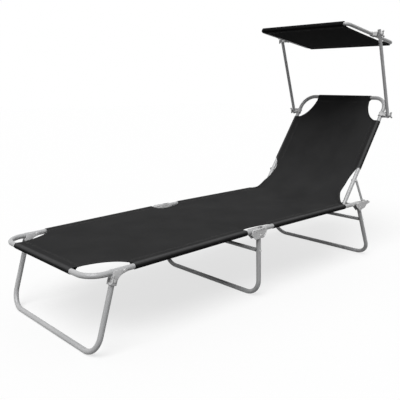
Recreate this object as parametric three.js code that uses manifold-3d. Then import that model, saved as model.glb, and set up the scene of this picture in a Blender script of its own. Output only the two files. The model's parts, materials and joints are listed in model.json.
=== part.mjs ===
// Folding sun lounger with an adjustable backrest and a tilting canopy.
// Lengths are millimetres, angles are degrees. +X runs from the foot end to the head end, +Y is the
// right side of a person who lies on it, +Z is up, and the three legs stand on Z = 0.
// While it is built, X is counted from the foot bar; the last lines move the origin to the middle.

import * as THREE from 'three';
import { mergeVertices } from 'three/addons/utils/BufferGeometryUtils.js';
import Module from 'manifold-3d';

const wasm = await Module();
wasm.setup();

// Steel tube and sheet
const tubeRadius = 9;
const tubeWall = 1.2;
const slimRadius = 7.5;
const slimWall = 1.1;
const bendRadius = 62;
const canopyBendRadius = 25;
const sheet = 2;
const tubeSides = 12;
const boreSides = 8;
const bendSteps = 4;

// Play between pieces
const play = 0.3;
const stopPlay = 0.5;

// Widths, from tube centre to tube centre
const railSpacing = 538;
const backSpacing = 462;

// The lying frame, seen from the side
const railHeight = 262.5;
const footLength = 688;
const footSlope = 1.05;
const seatLength = 634;
const railFrontInset = 40;
const railRearReach = 50;
const railEndReach = 14;
const backLength = 549;
const backEndReach = 11;
const backAngle = 54.7;

// Legs: the pin's place, how far it hangs under the rail, and how far the foot stands out from it
const frontPinInset = 78.6;
const frontPinDrop = 24;
const frontSpread = 64.6;
const middlePinPlace = 23;
const middlePinDrop = 19.5;
const middleSpread = 9;
const rearPinPlace = 56;
const rearPinDrop = 19.5;
const rearSpread = 106;
const legTopReach = 6;
const crossbarDrop = 78.5;
const crossbarBoltReach = 12;

// Rivets and bolts
const pinRadius = 2.5;
const headRadius = 5.2;
const headHeight = 2.2;
const pinSides = 8;
const capLip = 2;
const capDepth = 7;
const spacerRadius = 7;

// Hinge bracket between the foot section and the seat
const hingeFrontReach = 24;
const hingeRearReach = 57;
const hingeTop = 8;
const hingeSkirt = 11;
const hingeFrontDrop = 12;
const hingeFootFrontReach = 28;
const hingeFootRearReach = 20;
const hingeRearDrop = 6;
const hingeRivetPlace = 49;

// Bracket of the front leg
const frontTop = 5;
const frontSkirt = 21;
const frontGussetReach = 50;
const frontGussetDepth = 7;
const frontStemReach = 12;
const frontWebDrop = 8;
const frontToeReach = 4;
const frontHeelReach = 6;
const frontRivetPlace = 36;

// Bracket of the rear leg, whose inner cheek runs on as the backrest's ratchet
const ratchetFrontReach = 34;
const ratchetTop = 4;
const ratchetSkirt = 13;
const ratchetShoulder = 92;
const ratchetFall = 6;
const ratchetTip = 112;
const ratchetTipDrop = 18;
const ratchetThroat = 83;
const ratchetThroatDrop = 25;
const hookTip = 72;
const hookTipDrop = 36;
const hookHeel = 54;
const hookHeelDrop = 41;
const notchCount = 3;
const notchPitch = 13;
const ratchetRivetPlace = 21;

// Prop that holds the backrest up
const propPlace = 116;
const propLength = 110;
const propWidth = 12;
const propThickness = 3;
const propPinRadius = 3.5;

// Fabric
const fabric = 1.2;
const sleevePlay = 0.5;
const panelThickness = 1.8;
const footSleeveInset = 155;
const footSleeveRear = 45;
const footBarSleeve = 175;
const hingePanelGap = 9;
const hingePanelInset = 18;
const seatSleeveFront = 95;
const seatSleeveInset = 60;
const seatTongueInset = 66;
const slingBridge = 120;
const backBridgeShare = 0.77;
const backWaistPlace = 60;
const backWaistInset = 29;
const backSleeveStart = 178;
const backSleeveInset = 124;
const backBarSleeve = 145;
const edgeSteps = 8;

// Canopy, its arms, clamps and wing knobs
const clampInset = 89;
const clampLength = 20;
const clampWall = 3;
const clampBoss = 25;
const clampBossHalf = 8.5;
const armLength = 365;
const armLean = 18.3;
const armFootReach = 11;
const armTopReach = 17;
const canopyFront = 202;
const canopyRear = 177;
const canopySlope = 9.1;
const canopySleeve = 206;
const canopyEdgeBow = 5;
const studRadius = 3;
const studLength = 5;
const knobHubRadius = 9;
const knobHubLength = 8;
const knobWingSpan = 15;
const knobWingReach = 14;
const knobWingThickness = 5;
const knobWingRootShare = 0.35;
const knobWingTurn = 90;

// Colours
const steelColour = 0xb9babc;
const rivetColour = 0x8d8e90;
const fabricColour = 0x333334;
const plasticColour = 0x77787a;

// One length that is longer than any cut goes through
const overrun = 40;
const weld = 1e-4;

const radians = THREE.MathUtils.degToRad;
const sides = { left: -1, right: 1 };
const halfRail = railSpacing / 2;
const halfBack = backSpacing / 2;
const cheekInner = tubeRadius + play;
const cheekOuter = cheekInner + sheet;
const frontPinPlace = footLength - frontPinInset;
const clampPlace = backLength - clampInset;

const steel = new THREE.MeshStandardMaterial({ color: steelColour, metalness: 0.35, roughness: 0.5 });
const rivetSteel = new THREE.MeshStandardMaterial({ color: rivetColour, metalness: 0.8, roughness: 0.35 });
const cloth = new THREE.MeshStandardMaterial({ color: fabricColour, metalness: 0, roughness: 0.95 });
const plastic = new THREE.MeshStandardMaterial({ color: plasticColour, metalness: 0, roughness: 0.6 });

// Turns a closed three.js geometry into a solid that can be joined and cut.
function solid(geometry) {
  const bare = geometry.clone();
  bare.deleteAttribute('normal');
  bare.deleteAttribute('uv');
  const merged = mergeVertices(bare, weld);
  const mesh = new wasm.Mesh({
    numProp: 3,
    vertProperties: merged.attributes.position.array,
    triVerts: Uint32Array.from(merged.index.array),
  });
  return new wasm.Manifold(mesh);
}

// Turns a solid back into a three.js geometry.
function geometryOf(shape) {
  const mesh = shape.getMesh();
  const geometry = new THREE.BufferGeometry();
  geometry.setAttribute('position', new THREE.BufferAttribute(mesh.vertProperties, 3));
  geometry.setIndex(new THREE.BufferAttribute(mesh.triVerts, 1));
  return geometry;
}

function addMesh(parent, name, shape, material) {
  const geometry = shape.isBufferGeometry ? shape : geometryOf(shape);
  const mesh = new THREE.Mesh(geometry, material);
  mesh.name = name;
  parent.add(mesh);
}

// A path of straight runs with round bends, walked from one stop to the next.
class BentPath extends THREE.Curve {
  constructor(corners, radius) {
    super();
    const points = corners.map((corner) => new THREE.Vector3(...corner));
    this.stops = [{ point: points[0], tangent: direction(points[0], points[1]) }];
    for (let i = 1; i < points.length - 1; i += 1) {
      this.stops.push(...bendStops(points[i - 1], points[i], points[i + 1], radius));
    }
    const last = points.length - 1;
    this.stops.push({ point: points[last], tangent: direction(points[last - 1], points[last]) });
  }

  getPointAt(share) {
    return this.stops[Math.round(share * (this.stops.length - 1))].point.clone();
  }

  getTangentAt(share) {
    return this.stops[Math.round(share * (this.stops.length - 1))].tangent.clone();
  }
}

function direction(from, to) {
  return to.clone().sub(from).normalize();
}

// The stops of a square bend of the given radius.
function bendStops(before, corner, after, radius) {
  const into = direction(before, corner);
  const out = direction(corner, after);
  const centre = corner.clone().addScaledVector(into, -radius).addScaledVector(out, radius);
  const stops = [];
  for (let step = 0; step <= bendSteps; step += 1) {
    const turn = (Math.PI / 2) * (step / bendSteps);
    const point = centre.clone()
      .addScaledVector(out, -radius * Math.cos(turn))
      .addScaledVector(into, radius * Math.sin(turn));
    const tangent = into.clone().multiplyScalar(Math.cos(turn)).addScaledVector(out, Math.sin(turn));
    stops.push({ point, tangent: tangent.normalize() });
  }
  return stops;
}

// Evenly spaced points round a circle, none of them on an axis, so that flats face along the axes.
function ring(radius, count, phase) {
  const points = [];
  for (let i = 0; i < count; i += 1) {
    const turn = phase + (Math.PI * (2 * i + 1)) / count;
    points.push(new THREE.Vector2(radius * Math.cos(turn), radius * Math.sin(turn)));
  }
  return points;
}

// A bar or, with a wall, a tube that follows a bent path; its flats face along the path's axes.
function sweep(corners, radius, { wall = 0, bend = 0, phase = 0 } = {}) {
  const section = new THREE.Shape(ring(radius, tubeSides, phase));
  if (wall > 0) section.holes.push(new THREE.Path(ring(radius - wall, boreSides, phase)));
  const path = new BentPath(corners, bend);
  return new THREE.ExtrudeGeometry(section, { steps: path.stops.length - 1, extrudePath: path });
}

function extruded(shape, depth) {
  return new THREE.ExtrudeGeometry(shape, { depth, bevelEnabled: false, curveSegments: edgeSteps });
}

// A plate that stands in the XZ plane, centred on y; the shape's second coordinate is Z.
function plate(shape, thickness, y) {
  const geometry = extruded(shape, thickness);
  geometry.rotateX(Math.PI / 2);
  geometry.translate(0, y + thickness / 2, 0);
  return solid(geometry);
}

function outline(points) {
  return new THREE.Shape(points.map(([x, z]) => new THREE.Vector2(x, z)));
}

// A round bar along Y between two places.
function crossPin(radius, from, to, x, z, count = pinSides) {
  const geometry = new THREE.CylinderGeometry(radius, radius, Math.abs(to - from), count);
  geometry.translate(x, (from + to) / 2, z);
  return solid(geometry);
}

function box(low, high) {
  const size = high.map((value, i) => value - low[i]);
  const geometry = new THREE.BoxGeometry(...size);
  geometry.translate(...high.map((value, i) => (value + low[i]) / 2));
  return solid(geometry);
}

// The corner radius of a hole whose flats keep the play to a pin that turns in it.
function holeRadius(radius) {
  return (radius + play) / Math.cos(Math.PI / pinSides);
}

// Cuts a hole across the piece for a pin.
function drilled(shape, radius, y, x, z) {
  return shape.subtract(crossPin(holeRadius(radius), y - overrun, y + overrun, x, z));
}

// A rivet: a shank along Y with a round head on each end.
function rivet(x, z, inner, outer, side) {
  const shank = crossPin(pinRadius, side * (inner - headHeight), side * (outer + headHeight), x, z);
  const heads = [crossPin(headRadius, side * (inner - headHeight), side * (inner - play), x, z),
    crossPin(headRadius, side * (outer + play), side * (outer + headHeight), x, z)];
  return heads.reduce((whole, head) => whole.add(head), shank);
}

// A rivet through both cheeks of a bracket on a rail.
function cheekRivet(x, z, side) {
  return rivet(x, z, halfRail - cheekOuter, halfRail + cheekOuter, side);
}

// A panel or a cut that lies flat.
function flatPanel(shape, thickness) {
  const geometry = extruded(shape, thickness);
  geometry.translate(0, 0, -thickness / 2);
  return solid(geometry);
}

function straightPanel(from, to, halfWidth) {
  const half = panelThickness / 2;
  return plate(outline([[from, -half], [to, -half], [to, half], [from, half]]), 2 * halfWidth, 0);
}

// A panel that runs flat to the bend's start and then rises on an arc, toward the given way along X.
function risingPanel(from, bendStart, turn, way, halfWidth) {
  const half = panelThickness / 2;
  const down = -Math.PI / 2;
  const shape = new THREE.Shape();
  shape.absarc(bendStart, bridgeRadius, bridgeRadius + half, down, down + way * turn, way < 0);
  shape.absarc(bendStart, bridgeRadius, bridgeRadius - half, down + way * turn, down, way > 0);
  shape.lineTo(from, half);
  shape.lineTo(from, -half);
  return plate(shape, 2 * halfWidth, 0);
}

// Bites ellipses out of a panel, the same on both sides.
function bitten(panel, bites) {
  let left = panel;
  for (const { x, y, reach, inset } of bites) {
    for (const side of Object.values(sides)) {
      const bite = new THREE.Shape();
      bite.absellipse(x, side * y, reach, inset, 0, 2 * Math.PI);
      left = left.subtract(flatPanel(bite, 2 * slingBridge));
    }
  }
  return left;
}

const sleeveOuter = (radius) => radius + sleevePlay + fabric;
const sleeveInner = (radius) => radius + sleevePlay;

function sleeve(from, to, radius) {
  return solid(sweep([from, to], sleeveOuter(radius)));
}

function sleeveBore(from, to, radius) {
  return solid(sweep([from, to], sleeveInner(radius)));
}

// The fabric rounds the corner between the seat and the backrest on an arc, which turns half in each.
const bridgeTurn = radians(backAngle) / 2;
const bridgeRadius = slingBridge / Math.tan(bridgeTurn);

// Places on the side view, as x and z
const footHinge = { x: footLength, z: railHeight };
const backPivot = { x: footLength + seatLength, z: railHeight };

// A place on the foot section, counted from its hinge toward the foot end and down from the rail.
function footPlace(back, down) {
  const slope = radians(footSlope);
  return {
    x: footHinge.x - back * Math.cos(slope) + down * Math.sin(slope),
    z: footHinge.z - back * Math.sin(slope) - down * Math.cos(slope),
  };
}

const restHeight = tubeRadius * Math.cos(Math.PI / tubeSides);

// A leg hangs from its pin and leans so that its lower bar stands on the ground at the given spread.
function legAt(pin, spread) {
  const drop = pin.z - restHeight;
  return { pin, lean: Math.atan2(spread, drop), length: Math.hypot(spread, drop), drop };
}

const frontLeg = legAt(footPlace(frontPinPlace, frontPinDrop), -frontSpread);
const middleLeg = legAt({ x: footHinge.x + middlePinPlace, z: railHeight - middlePinDrop }, middleSpread);
const rearLeg = legAt({ x: backPivot.x + rearPinPlace, z: railHeight - rearPinDrop }, rearSpread);

// A place beside a leg, counted down from its pin and toward the head end.
function besideLeg(leg, down, aside) {
  return [down * Math.sin(leg.lean) + aside * Math.cos(leg.lean),
    aside * Math.sin(leg.lean) - down * Math.cos(leg.lean)];
}

const model = new THREE.Group();

function turnedGroup(parent, place, turn) {
  const group = new THREE.Group();
  group.position.set(place.x, 0, place.z);
  group.rotation.y = turn;
  parent.add(group);
  return group;
}

// Legs: a bent tube that hangs from two pins, flat side down on the ground
function buildLeg(leg) {
  const group = turnedGroup(model, leg.pin, -leg.lean);
  const corners = [[0, -halfRail, legTopReach], [0, -halfRail, -leg.length],
    [0, halfRail, -leg.length], [0, halfRail, legTopReach]];
  const geometry = sweep(corners, tubeRadius, { wall: tubeWall, bend: bendRadius, phase: leg.lean });
  let shape = solid(geometry);
  for (const side of Object.values(sides)) shape = drilled(shape, pinRadius, side * halfRail, 0, 0);
  return { group, shape };
}

function crossbarDepth(leg) {
  return (leg.pin.z - railHeight + crossbarDrop) / Math.cos(leg.lean);
}

// The crossbar butts against the posts and is held by a bolt through each of them.
function addCrossbar(name, leg, group) {
  const depth = crossbarDepth(leg);
  const half = halfRail - tubeRadius - play;
  const ends = [[0, -half, -depth], [0, half, -depth]];
  const bar = sweep(ends, slimRadius, { wall: slimWall, phase: leg.lean });
  addMesh(group, `${name}_crossbar`, bar, steel);
  for (const [word, side] of Object.entries(sides)) {
    const face = side * (halfRail + tubeRadius + play);
    const shank = crossPin(pinRadius, side * (half - crossbarBoltReach), face, 0, -depth);
    const head = crossPin(headRadius, face, face + side * headHeight, 0, -depth);
    addMesh(group, `${name}_bolt_${word}`, shank.add(head), rivetSteel);
  }
}

function addLeg(name, leg, withCrossbar) {
  const { group, shape } = buildLeg(leg);
  let tube = shape;
  if (withCrossbar) {
    for (const side of Object.values(sides)) {
      tube = drilled(tube, pinRadius, side * halfRail, 0, -crossbarDepth(leg));
    }
    addCrossbar(name, leg, group);
  }
  addMesh(group, name, tube, steel);
}

// Foot section
function addFootSection() {
  const group = turnedGroup(model, footHinge, -radians(footSlope));
  const corners = [[railEndReach, -halfRail, 0], [-footLength, -halfRail, 0],
    [-footLength, halfRail, 0], [railEndReach, halfRail, 0]];
  let tube = solid(sweep(corners, tubeRadius, { wall: tubeWall, bend: bendRadius }));
  const rivetX = frontRivetPlace - frontPinPlace;
  for (const side of Object.values(sides)) {
    tube = drilled(tube, pinRadius, side * halfRail, 0, 0);
    tube = drilled(tube, pinRadius, side * halfRail, rivetX, 0);
  }
  addMesh(group, 'foot_frame', tube, steel);
  addFootSling(group);
  for (const [word, side] of Object.entries(sides)) {
    addMesh(group, `front_bracket_${word}`, frontBracket(side), steel);
    addMesh(group, `front_bracket_rivet_${word}`, cheekRivet(rivetX, 0, side), rivetSteel);
    addMesh(group, `front_leg_pin_${word}`, cheekRivet(-frontPinPlace, -frontPinDrop, side), rivetSteel);
  }
}

// The fabric of the foot section: sleeves on both rails and on the foot bar, joined by one panel.
function addFootSling(group) {
  const bite = { x: -footLength, y: halfRail, reach: footSleeveInset, inset: halfRail - footBarSleeve };
  const notch = { x: 0, y: halfRail, reach: footSleeveRear, inset: hingePanelInset };
  let sling = bitten(straightPanel(-footLength, -hingePanelGap, halfRail), [bite, notch]);
  const bar = [[-footLength, -footBarSleeve, 0], [-footLength, footBarSleeve, 0]];
  const wholeBar = [[-footLength, -halfRail, 0], [-footLength, halfRail, 0]];
  sling = sling.add(sleeve(...bar, tubeRadius)).subtract(sleeveBore(...wholeBar, tubeRadius));
  for (const side of Object.values(sides)) {
    const y = side * halfRail;
    const from = [footSleeveInset - footLength, y, 0];
    const to = [-footSleeveRear, y, 0];
    const bore = sleeveBore([-footLength, y, 0], [railEndReach, y, 0], tubeRadius);
    sling = sling.add(sleeve(from, to, tubeRadius)).subtract(bore);
  }
  addMesh(group, 'foot_sling', sling, cloth);
}

// A folded-sheet bracket: two cheeks beside the rail, and a web that the leg leans on.
function frontBracket(side) {
  const leg = { lean: frontLeg.lean - radians(footSlope) };
  const top = frontPinDrop + frontTop;
  const stemFoot = -cheekOuter;
  const cheek = new THREE.Shape();
  cheek.moveTo(...besideLeg(leg, -top, stemFoot));
  cheek.lineTo(...besideLeg(leg, frontWebDrop, stemFoot));
  cheek.lineTo(...besideLeg(leg, frontSkirt, -frontToeReach));
  cheek.lineTo(...besideLeg(leg, frontSkirt, frontHeelReach));
  cheek.lineTo(...besideLeg(leg, frontWebDrop, frontStemReach));
  cheek.lineTo(...besideLeg(leg, 0, frontStemReach));
  const bendAt = besideLeg(leg, -frontPinDrop + frontGussetDepth, frontStemReach);
  cheek.quadraticCurveTo(...bendAt, frontGussetReach, frontPinDrop - frontGussetDepth);
  cheek.lineTo(frontGussetReach, top);
  const cheeks = [-1, 1].map((way) => plate(cheek, sheet, way * (cheekInner + sheet / 2)));
  const web = outline([besideLeg(leg, legTopReach + play, stemFoot), besideLeg(leg, frontWebDrop, stemFoot),
    besideLeg(leg, frontWebDrop, -cheekInner), besideLeg(leg, legTopReach + play, -cheekInner)]);
  let bracket = plate(web, 2 * cheekInner + sheet, 0).add(cheeks[0]).add(cheeks[1]);
  bracket = drilled(bracket, pinRadius, 0, 0, 0);
  bracket = drilled(bracket, pinRadius, 0, frontRivetPlace, frontPinDrop);
  return bracket.translate([-frontPinPlace, side * halfRail, -frontPinDrop]);
}

// Seat
function addSeat() {
  for (const [word, side] of Object.entries(sides)) {
    addRail(word, side);
    addHingeBracket(word, side);
    addRatchetBracket(word, side);
    addBackPivot(word, side);
  }
  addSeatSling();
}

const railFront = footHinge.x + railFrontInset;
const railRear = backPivot.x + railRearReach;
const hingeRivetX = footHinge.x + hingeRivetPlace;
const ratchetRivetX = rearLeg.pin.x - ratchetRivetPlace;

function addRail(word, side) {
  const y = side * halfRail;
  const ends = [[railFront, y, railHeight], [railRear, y, railHeight]];
  let rail = solid(sweep(ends, tubeRadius, { wall: tubeWall }));
  for (const x of [hingeRivetX, backPivot.x, ratchetRivetX]) {
    rail = drilled(rail, pinRadius, y, x, railHeight);
  }
  addMesh(model, `seat_rail_${word}`, rail, steel);
  addMesh(model, `seat_rail_cap_${word}`, endCap(railRear, y, railHeight, 1), plastic);
}

// The hinge bracket holds the foot section's pin, the seat rail and the middle leg's pin.
function addHingeBracket(word, side) {
  const y = side * halfRail;
  const pin = middleLeg.pin;
  const left = footHinge.x - hingeFrontReach;
  const right = footHinge.x + hingeRearReach;
  const low = pin.z - hingeSkirt;
  const cheek = outline([[left, railHeight + hingeTop], [left, railHeight - hingeFrontDrop],
    [pin.x - hingeFootFrontReach, low], [pin.x + hingeFootRearReach, low],
    [right, railHeight - hingeRearDrop], [right, railHeight + hingeTop]]);
  const swing = Math.hypot(railEndReach, tubeRadius) + stopPlay;
  const seatWebEnd = footHinge.x - Math.sqrt(swing ** 2 - cheekInner ** 2);
  const seatWeb = outline([[left, railHeight - cheekOuter], [seatWebEnd, railHeight - cheekOuter],
    [seatWebEnd, railHeight - cheekInner], [left, railHeight - cheekInner]]);
  const stopTop = pin.z - legTopReach - play;
  const stopWeb = outline([[pin.x - cheekOuter, low], [pin.x - cheekInner, low],
    [pin.x - cheekInner, stopTop], [pin.x - cheekOuter, stopTop]]);
  const width = 2 * cheekInner + sheet;
  const middle = cheekInner + sheet / 2;
  let bracket = plate(cheek, sheet, y - middle).add(plate(cheek, sheet, y + middle));
  bracket = bracket.add(plate(seatWeb, width, y)).add(plate(stopWeb, width, y));
  const pins = [[footHinge.x, railHeight], [pin.x, pin.z], [hingeRivetX, railHeight]];
  for (const [x, z] of pins) bracket = drilled(bracket, pinRadius, y, x, z);
  addMesh(model, `hinge_bracket_${word}`, bracket, steel);
  const names = ['foot_hinge_pin', 'middle_leg_pin', 'hinge_bracket_rivet'];
  names.forEach((name, i) => addMesh(model, `${name}_${word}`, cheekRivet(...pins[i], side), rivetSteel));
}

// The outline of the plain cheek of the rear bracket, counted from the leg's pin.
function plainCheek() {
  const top = rearPinDrop + ratchetTop;
  return [[-ratchetFrontReach, rearPinDrop - tubeRadius], [-ratchetFrontReach, top],
    [cheekOuter, top], besideLeg(rearLeg, 0, cheekOuter), besideLeg(rearLeg, ratchetSkirt, cheekOuter),
    besideLeg(rearLeg, ratchetSkirt, -tubeRadius)];
}

// The inner cheek runs on toward the head end as a hooked plate with notches along its top.
function ratchetCheek() {
  const top = rearPinDrop + ratchetTop;
  const edge = (x) => top - (ratchetFall * (x - cheekOuter)) / (ratchetShoulder - cheekOuter);
  const half = propPinRadius + stopPlay;
  const front = -ratchetFrontReach;
  const points = [[front, rearPinDrop - tubeRadius], [front, top], [cheekOuter, top]];
  for (let i = -1; i < notchCount - 1; i += 1) {
    const x = propFoot().x - rearLeg.pin.x + i * notchPitch;
    const low = rearPinDrop - propPinRadius - stopPlay;
    points.push([x - half, edge(x - half)], [x - half, low], [x + half, low], [x + half, edge(x + half)]);
  }
  points.push([ratchetShoulder, top - ratchetFall], [ratchetTip, top - ratchetTipDrop]);
  points.push([ratchetThroat, top - ratchetThroatDrop], [hookTip, top - hookTipDrop]);
  points.push([hookHeel, top - hookHeelDrop], besideLeg(rearLeg, 0, cheekOuter));
  points.push(besideLeg(rearLeg, ratchetSkirt, cheekOuter), besideLeg(rearLeg, ratchetSkirt, -tubeRadius));
  return points;
}

function addRatchetBracket(word, side) {
  const y = side * halfRail;
  const pin = rearLeg.pin;
  const webTop = legTopReach + play;
  const web = outline([besideLeg(rearLeg, webTop, cheekInner), besideLeg(rearLeg, ratchetSkirt, cheekInner),
    besideLeg(rearLeg, ratchetSkirt, cheekOuter), besideLeg(rearLeg, webTop, cheekOuter)]);
  const middle = cheekInner + sheet / 2;
  let bracket = plate(outline(plainCheek()), sheet, side * middle);
  bracket = bracket.add(plate(outline(ratchetCheek()), sheet, -side * middle));
  bracket = bracket.add(plate(web, 2 * cheekInner + sheet, 0)).translate([pin.x, y, pin.z]);
  const pins = [[pin.x, pin.z], [ratchetRivetX, railHeight]];
  for (const [x, z] of pins) bracket = drilled(bracket, pinRadius, y, x, z);
  addMesh(model, `ratchet_bracket_${word}`, bracket, steel);
  addMesh(model, `rear_leg_pin_${word}`, cheekRivet(...pins[0], side), rivetSteel);
  addMesh(model, `ratchet_bracket_rivet_${word}`, cheekRivet(...pins[1], side), rivetSteel);
}

// The backrest hangs on a long bolt with a spacer between it and the rail.
function addBackPivot(word, side) {
  const inner = halfBack - tubeRadius;
  const outer = halfRail + tubeRadius;
  const { x, z } = backPivot;
  addMesh(model, `back_pivot_bolt_${word}`, rivet(x, z, inner, outer, side), rivetSteel);
  const from = side * (halfBack + tubeRadius + play);
  const to = side * (halfRail - tubeRadius - play);
  const spacer = crossPin(spacerRadius, from, to, x, z, tubeSides);
  const bored = drilled(spacer, pinRadius, (from + to) / 2, x, z);
  addMesh(model, `back_pivot_spacer_${word}`, bored, plastic);
}

function addSeatSling() {
  const group = turnedGroup(model, footHinge, 0);
  const notch = { x: 0, y: halfRail, reach: seatSleeveFront, inset: hingePanelInset };
  const bite = { x: seatLength, y: halfRail, reach: seatSleeveInset, inset: seatTongueInset };
  const panel = risingPanel(hingePanelGap, seatLength - slingBridge, bridgeTurn, 1, halfRail);
  let sling = bitten(panel, [notch, bite]);
  for (const side of Object.values(sides)) {
    const y = side * halfRail;
    const bore = sleeveBore([0, y, 0], [seatLength + overrun, y, 0], tubeRadius);
    const ends = [[seatSleeveFront, y, 0], [seatLength - seatSleeveInset, y, 0]];
    sling = sling.add(sleeve(...ends, tubeRadius)).subtract(bore);
  }
  addMesh(group, 'seat_sling', sling, cloth);
}

// Backrest, built lying flat from its pivot and then raised
function addBackrest() {
  const group = turnedGroup(model, backPivot, -radians(backAngle));
  const corners = [[-backEndReach, -halfBack, 0], [backLength, -halfBack, 0],
    [backLength, halfBack, 0], [-backEndReach, halfBack, 0]];
  let tube = solid(sweep(corners, tubeRadius, { wall: tubeWall, bend: bendRadius }));
  for (const side of Object.values(sides)) {
    for (const x of [0, propPlace]) tube = drilled(tube, pinRadius, side * halfBack, x, 0);
  }
  addMesh(group, 'back_frame', tube, steel);
  addBackSling(group);
  for (const [word, side] of Object.entries(sides)) {
    addMesh(group, `back_cap_${word}`, endCap(-backEndReach, side * halfBack, 0, -1), plastic);
    addMesh(group, `prop_rivet_${word}`, propRivet(side), rivetSteel);
    addMesh(group, `arm_clamp_${word}`, clamp(tubeRadius, side).translate([clampPlace, 0, 0]), plastic);
  }
}

// A plug with a lip in the end of a tube, which the tube leaves toward the given way along X.
function endCap(x, y, z, way) {
  const bore = (tubeRadius - tubeWall) * Math.cos(Math.PI / boreSides);
  const mouth = [x + way * play, y, z];
  const lip = solid(sweep([mouth, [x + way * (play + capLip), y, z]], tubeRadius));
  return lip.add(solid(sweep([[x - way * capDepth, y, z], mouth], bore - play)));
}

// The prop stands far enough from the backrest's tube to pass its sleeve, with a collar between them.
const propInner = halfBack + sleeveOuter(tubeRadius) + play;
const propOuter = propInner + propThickness;

function propRivet(side) {
  const collarStart = halfBack + tubeRadius + play;
  const collar = crossPin(headRadius, side * collarStart, side * (propInner - play), propPlace, 0);
  return rivet(propPlace, 0, halfBack - tubeRadius, propOuter, side).add(collar);
}

function addBackSling(group) {
  const waistReach = backSleeveStart - backWaistPlace;
  const low = { x: backWaistPlace, y: halfBack, reach: waistReach, inset: backWaistInset };
  const high = { x: backLength, y: halfBack, reach: backSleeveInset, inset: halfBack - backBarSleeve };
  const panel = risingPanel(backLength, slingBridge, bridgeTurn * backBridgeShare, -1, halfBack);
  let sling = bitten(panel, [low, high]);
  const bar = [[backLength, -backBarSleeve, 0], [backLength, backBarSleeve, 0]];
  const wholeBar = [[backLength, -halfBack, 0], [backLength, halfBack, 0]];
  sling = sling.add(sleeve(...bar, tubeRadius)).subtract(sleeveBore(...wholeBar, tubeRadius));
  for (const side of Object.values(sides)) {
    const y = side * halfBack;
    const bore = sleeveBore([-backEndReach, y, 0], [backLength, y, 0], tubeRadius);
    const ends = [[backSleeveStart, y, 0], [backLength - backSleeveInset, y, 0]];
    sling = sling.add(sleeve(...ends, tubeRadius)).subtract(bore);
  }
  addMesh(group, 'back_sling', sling, cloth);
}

// The prop hangs from the backrest's rivet and its pin stands beside a notch of the ratchet.
const propTop = {
  x: backPivot.x + propPlace * Math.cos(radians(backAngle)),
  z: backPivot.z + propPlace * Math.sin(radians(backAngle)),
};

function propFoot() {
  const drop = propTop.z - railHeight;
  return { x: propTop.x + Math.sqrt(propLength ** 2 - drop ** 2), z: railHeight };
}

function addProps() {
  const foot = propFoot();
  const turn = Math.atan2(propTop.z - foot.z, foot.x - propTop.x);
  const group = turnedGroup(model, propTop, turn);
  const half = propWidth / 2;
  for (const [word, side] of Object.entries(sides)) {
    const y = side * (propInner + propThickness / 2);
    const shape = new THREE.Shape();
    shape.absarc(0, 0, half, Math.PI / 2, (3 * Math.PI) / 2);
    shape.absarc(propLength, 0, half, -Math.PI / 2, Math.PI / 2);
    const bar = drilled(plate(shape, propThickness, y), pinRadius, y, 0, 0);
    const pinEnd = side * (halfRail - cheekOuter - play);
    addMesh(group, `prop_${word}`, bar.add(crossPin(propPinRadius, y, pinEnd, propLength, 0)), steel);
  }
}

// A clamp: a ring round a tube that runs along X, with a boss for the arm's stud.
function clamp(radius, side) {
  const half = clampLength / 2;
  const y = side * halfBack;
  const outer = side * (halfBack + clampBoss);
  const collar = solid(sweep([[-half, y, 0], [half, y, 0]], radius + play + clampWall));
  const boss = box([-half, Math.min(y, outer), -clampBossHalf], [half, Math.max(y, outer), clampBossHalf]);
  const bore = solid(sweep([[-half - overrun, y, 0], [half + overrun, y, 0]], radius + play));
  const seat = side * (halfBack + clampBoss - studLength - play);
  const socket = crossPin(holeRadius(studRadius), seat, outer + side * overrun, 0, 0);
  return collar.add(boss).subtract(bore).subtract(socket);
}

const armPlace = halfBack + clampBoss + play + slimRadius;
const clampCentre = {
  x: backPivot.x + clampPlace * Math.cos(radians(backAngle)),
  z: backPivot.z + clampPlace * Math.sin(radians(backAngle)),
};
const armTop = {
  x: clampCentre.x - armLength * Math.sin(radians(armLean)),
  z: clampCentre.z + armLength * Math.cos(radians(armLean)),
};

function addArms() {
  const group = turnedGroup(model, clampCentre, -radians(armLean));
  for (const [word, side] of Object.entries(sides)) {
    const y = side * armPlace;
    const ends = [[0, y, -armFootReach], [0, y, armLength + armTopReach]];
    let arm = solid(sweep(ends, slimRadius, { wall: slimWall }));
    for (const z of [0, armLength]) arm = drilled(arm, studRadius, y, 0, z);
    addMesh(group, `canopy_arm_${word}`, arm, steel);
  }
}

// Canopy, built lying flat round the arms' upper axis and then tilted
function addCanopy() {
  const group = turnedGroup(model, armTop, radians(canopySlope));
  const seam = play / 2;
  const corners = [[-canopyFront, seam, 0], [-canopyFront, halfBack, 0], [canopyRear, halfBack, 0],
    [canopyRear, -halfBack, 0], [-canopyFront, -halfBack, 0], [-canopyFront, -seam, 0]];
  const tube = sweep(corners, slimRadius, { wall: slimWall, bend: canopyBendRadius });
  addMesh(group, 'canopy_frame', tube, steel);
  addMesh(group, 'canopy_fabric', canopyFabric(), cloth);
  for (const [word, side] of Object.entries(sides)) {
    addMesh(group, `canopy_clamp_${word}`, clamp(slimRadius, side), plastic);
  }
}

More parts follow.
